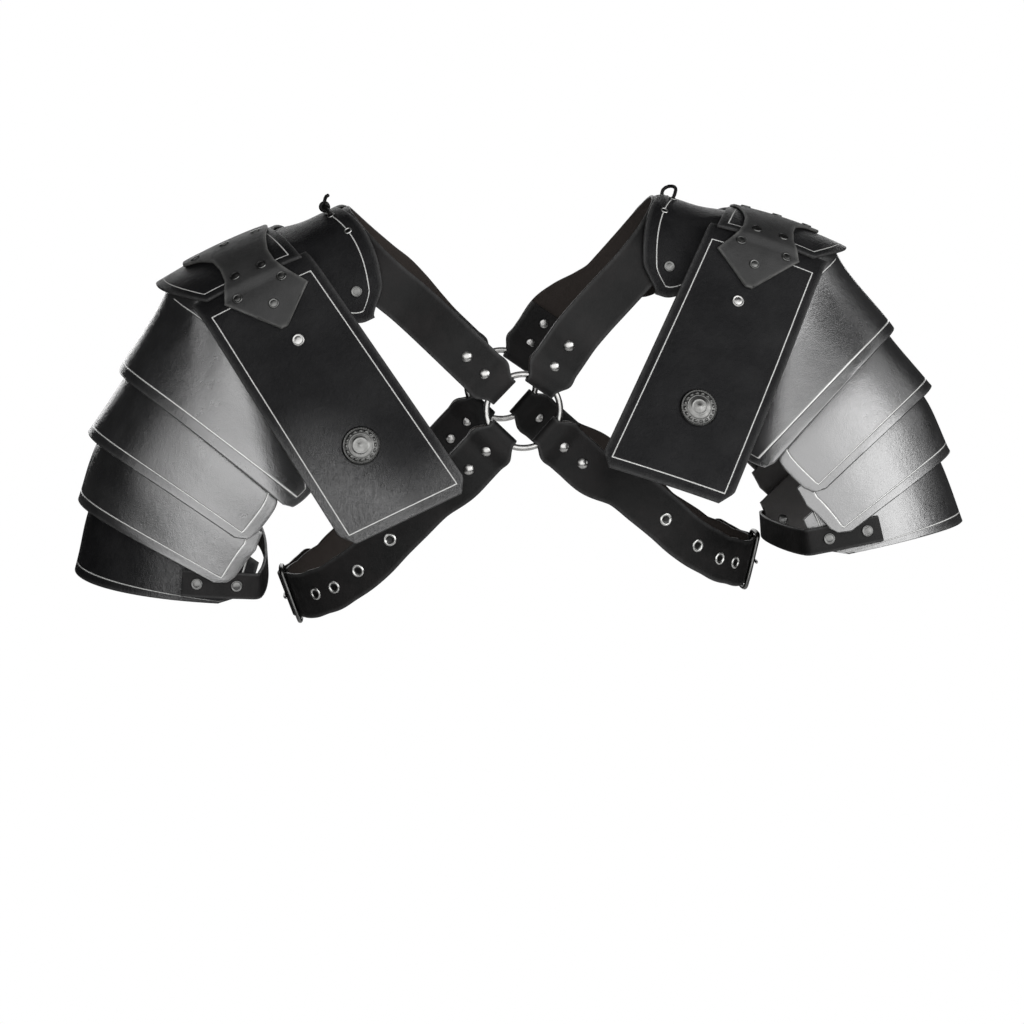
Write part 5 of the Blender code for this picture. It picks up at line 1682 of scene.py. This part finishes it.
@dataclass
class Studio:
    """Camera, pale floor and soft light."""

    distance: float = 2.5
    yaw: float = math.radians(5.45)
    elevation: float = math.radians(3.6)
    roll: float = math.radians(3.22)
    lens: float = 103.4
    shift: tuple[float, float] = (0.0110, -0.3059)
    floor_height: float = -1.30
    floor_radius: float = 1.60

    def camera(self) -> None:
        """Camera at the photograph's angle, with depth of field off."""
        ahead = np.array([math.sin(self.yaw) * math.cos(self.elevation),
                          math.cos(self.yaw) * math.cos(self.elevation),
                          -math.sin(self.elevation)])
        data = bpy.data.cameras.new("camera")
        data.sensor_width, data.lens = 36.0, self.lens
        data.shift_x, data.shift_y = self.shift
        data.clip_start, data.clip_end = 0.05, 50.0
        item = bpy.data.objects.new("camera", data)
        item.matrix_world = look(-ahead * self.distance, np.zeros(3), self.roll)
        bpy.context.scene.collection.objects.link(item)
        bpy.context.scene.camera = item

    def floor(self) -> None:
        """A round pale floor below the held-up armour."""
        turns = np.linspace(0.0, 2.0 * math.pi, 96, endpoint=False)
        rings = np.linspace(0.0, self.floor_radius, 9)[1:, None]
        points = np.stack([rings * np.cos(turns), rings * np.sin(turns),
                           np.full((8, 96), self.floor_height)], axis=-1).reshape(-1, 3)
        faces = grid_faces(8, 96, wrap=True).tolist()
        centre = len(points)
        faces += [[centre, index, (index + 1) % 96] for index in range(96)]
        mesh = bpy.data.meshes.new("studio_floor")
        mesh.from_pydata(points.tolist() + [[0.0, 0.0, self.floor_height]], [], faces)
        mesh.materials.append(PaleFloor().make())
        item = bpy.data.objects.new("studio_floor", mesh)
        bpy.context.scene.collection.objects.link(item)

    def world(self) -> None:
        """Even pale surroundings that light the armour only a little."""
        world = bpy.data.worlds.new("studio")
        world.use_nodes = True
        tree = world.node_tree
        back = tree.nodes["Background"]
        back.inputs["Color"].default_value = (1.0, 1.0, 1.0, 1.0)
        paths = tree.nodes.new("ShaderNodeLightPath")
        strength = tree.nodes.new("ShaderNodeMapRange")
        strength.inputs["To Min"].default_value = 0.45
        strength.inputs["To Max"].default_value = 0.03
        tree.links.new(paths.outputs["Is Glossy Ray"], strength.inputs["Value"])
        seen = tree.nodes.new("ShaderNodeMath")
        seen.operation = "MAXIMUM"
        tree.links.new(strength.outputs["Result"], seen.inputs[0])
        tree.links.new(paths.outputs["Is Camera Ray"], seen.inputs[1])
        tree.links.new(seen.outputs[0], back.inputs["Strength"])
        bpy.context.scene.world = world
        bpy.context.scene.view_settings.view_transform = "Standard"

    def lights(self) -> None:
        """A low row of broad boxes round the front, and a weak one overhead."""
        for name, azimuth, height, size, radiance, aim in (
                ("front_box", -2.0, 6.0, (4.20, 2.70), 6.4, 0.0),
                ("upper_box", 8.0, 41.0, (3.60, 0.90), 4.4, 0.0),
                ("left_box", -45.0, 16.0, (0.85, 1.80), 3.4, -0.25),
                ("outer_left_box", -60.0, 18.0, (0.85, 1.60), 1.5, -0.25),
                ("right_box", 51.0, 12.0, (2.40, 2.20), 10.5, 0.25),
                ("outer_right_box", 90.0, 25.0, (1.50, 1.60), 1.8, 0.25),
                ("back_box", 180.0, 16.0, (2.80, 1.80), 2.2, 0.0),
                ("top_box", 0.0, 84.0, (2.20, 1.20), 1.0, 0.0)):
            self.box(name, math.radians(azimuth), math.radians(height), size, radiance, aim)

    def box(self, name: str, azimuth: float, height: float, size: tuple[float, float],
            radiance: float, aim: float) -> None:
        """A soft box 3 m from one shoulder, from its direction, size and brightness."""
        target = np.array([aim, 0.0, -0.2])
        way = np.array([math.sin(azimuth) * math.cos(height),
                        -math.cos(azimuth) * math.cos(height), math.sin(height)])
        power = radiance * math.pi * size[0] * size[1]
        SoftBox(name, tuple(target + way * 3.0), tuple(target), size, power).build()

    def build(self) -> None:
        """Set up everything but the camera, which comes first."""
        self.floor()
        self.world()
        self.lights()


def main() -> None:
    """Build the armour's looks piece by piece."""
    logging.basicConfig(level=logging.INFO, format="%(name)s: %(message)s")
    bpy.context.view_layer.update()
    studio = Studio()
    studio.camera()
    pale = (0.22, 0.22, 0.215)
    black = LeatherFinish("polished_black_leather", (0.0030, 0.0030, 0.0032), (0.006, 0.006, 0.0062),
                          (0.016, 0.016, 0.016), (0.0060, 0.0050, 0.0045), pale,
                          0.32, 1.0, 0.22, 760.0, 0.00005, 0.35).make()
    # Satin: its coat follows the painted sheen mark, so it shines only where a sheen is painted.
    satin = LeatherFinish("satin_black_leather", (0.0026, 0.0026, 0.0028), (0.005, 0.005, 0.0052),
                          (0.016, 0.016, 0.016), (0.0060, 0.0050, 0.0045), pale,
                          0.34, 1.0, 0.20, 760.0, 0.00016, 0.03, 260.0, True).make()
    matt = LeatherFinish("matt_black_leather", (0.0062, 0.0062, 0.0062), (0.011, 0.011, 0.011),
                         (0.028, 0.028, 0.027), (0.0060, 0.0050, 0.0045), pale,
                         0.52, 0.0, 0.40, 820.0, 0.00008, 0.12).make()
    bridle = LeatherFinish("black_strap_leather", (0.0024, 0.0024, 0.0024), (0.005, 0.0046, 0.0046),
                           (0.012, 0.012, 0.012), (0.012, 0.010, 0.009), pale,
                           0.38, 0.0, 0.30, 900.0, 0.00006, 0.04).make()
    dark_nickel = MetalFinish("worn_nickel", (0.050, 0.050, 0.049), (0.025, 0.025, 0.025), 0.26,
                              0.000004).make()
    nickel = MetalFinish("bright_nickel", (0.155, 0.153, 0.150), (0.09, 0.09, 0.087), 0.24, 0.000004).make()
    # Its floors come out near black: painted shade for the eyelets' holes.
    eyelet_steel = MetalFinish("eyelet_steel", (0.20, 0.20, 0.195), (0.05, 0.05, 0.05), 0.26,
                               0.000004, dark_lows_and_hole_shade=True).make()
    silver = MetalFinish("antique_silver", (0.075, 0.075, 0.073), (0.026, 0.026, 0.025), 0.24, 0.00002,
                         dark_lows_and_hole_shade=True).make()
    for side in Side:
        lames, plates = LameStack(side.value, black, satin), ShoulderPlates(side.value, satin, matt)
        SmallParts(side.value, bridle, nickel, dark_nickel, eyelet_steel, silver, lames,
                   plates).build()
        lames.build()
        plates.build()
    Harness(bridle, nickel, dark_nickel, eyelet_steel).build()
    studio.build()


if __name__ == "__main__":
    main()
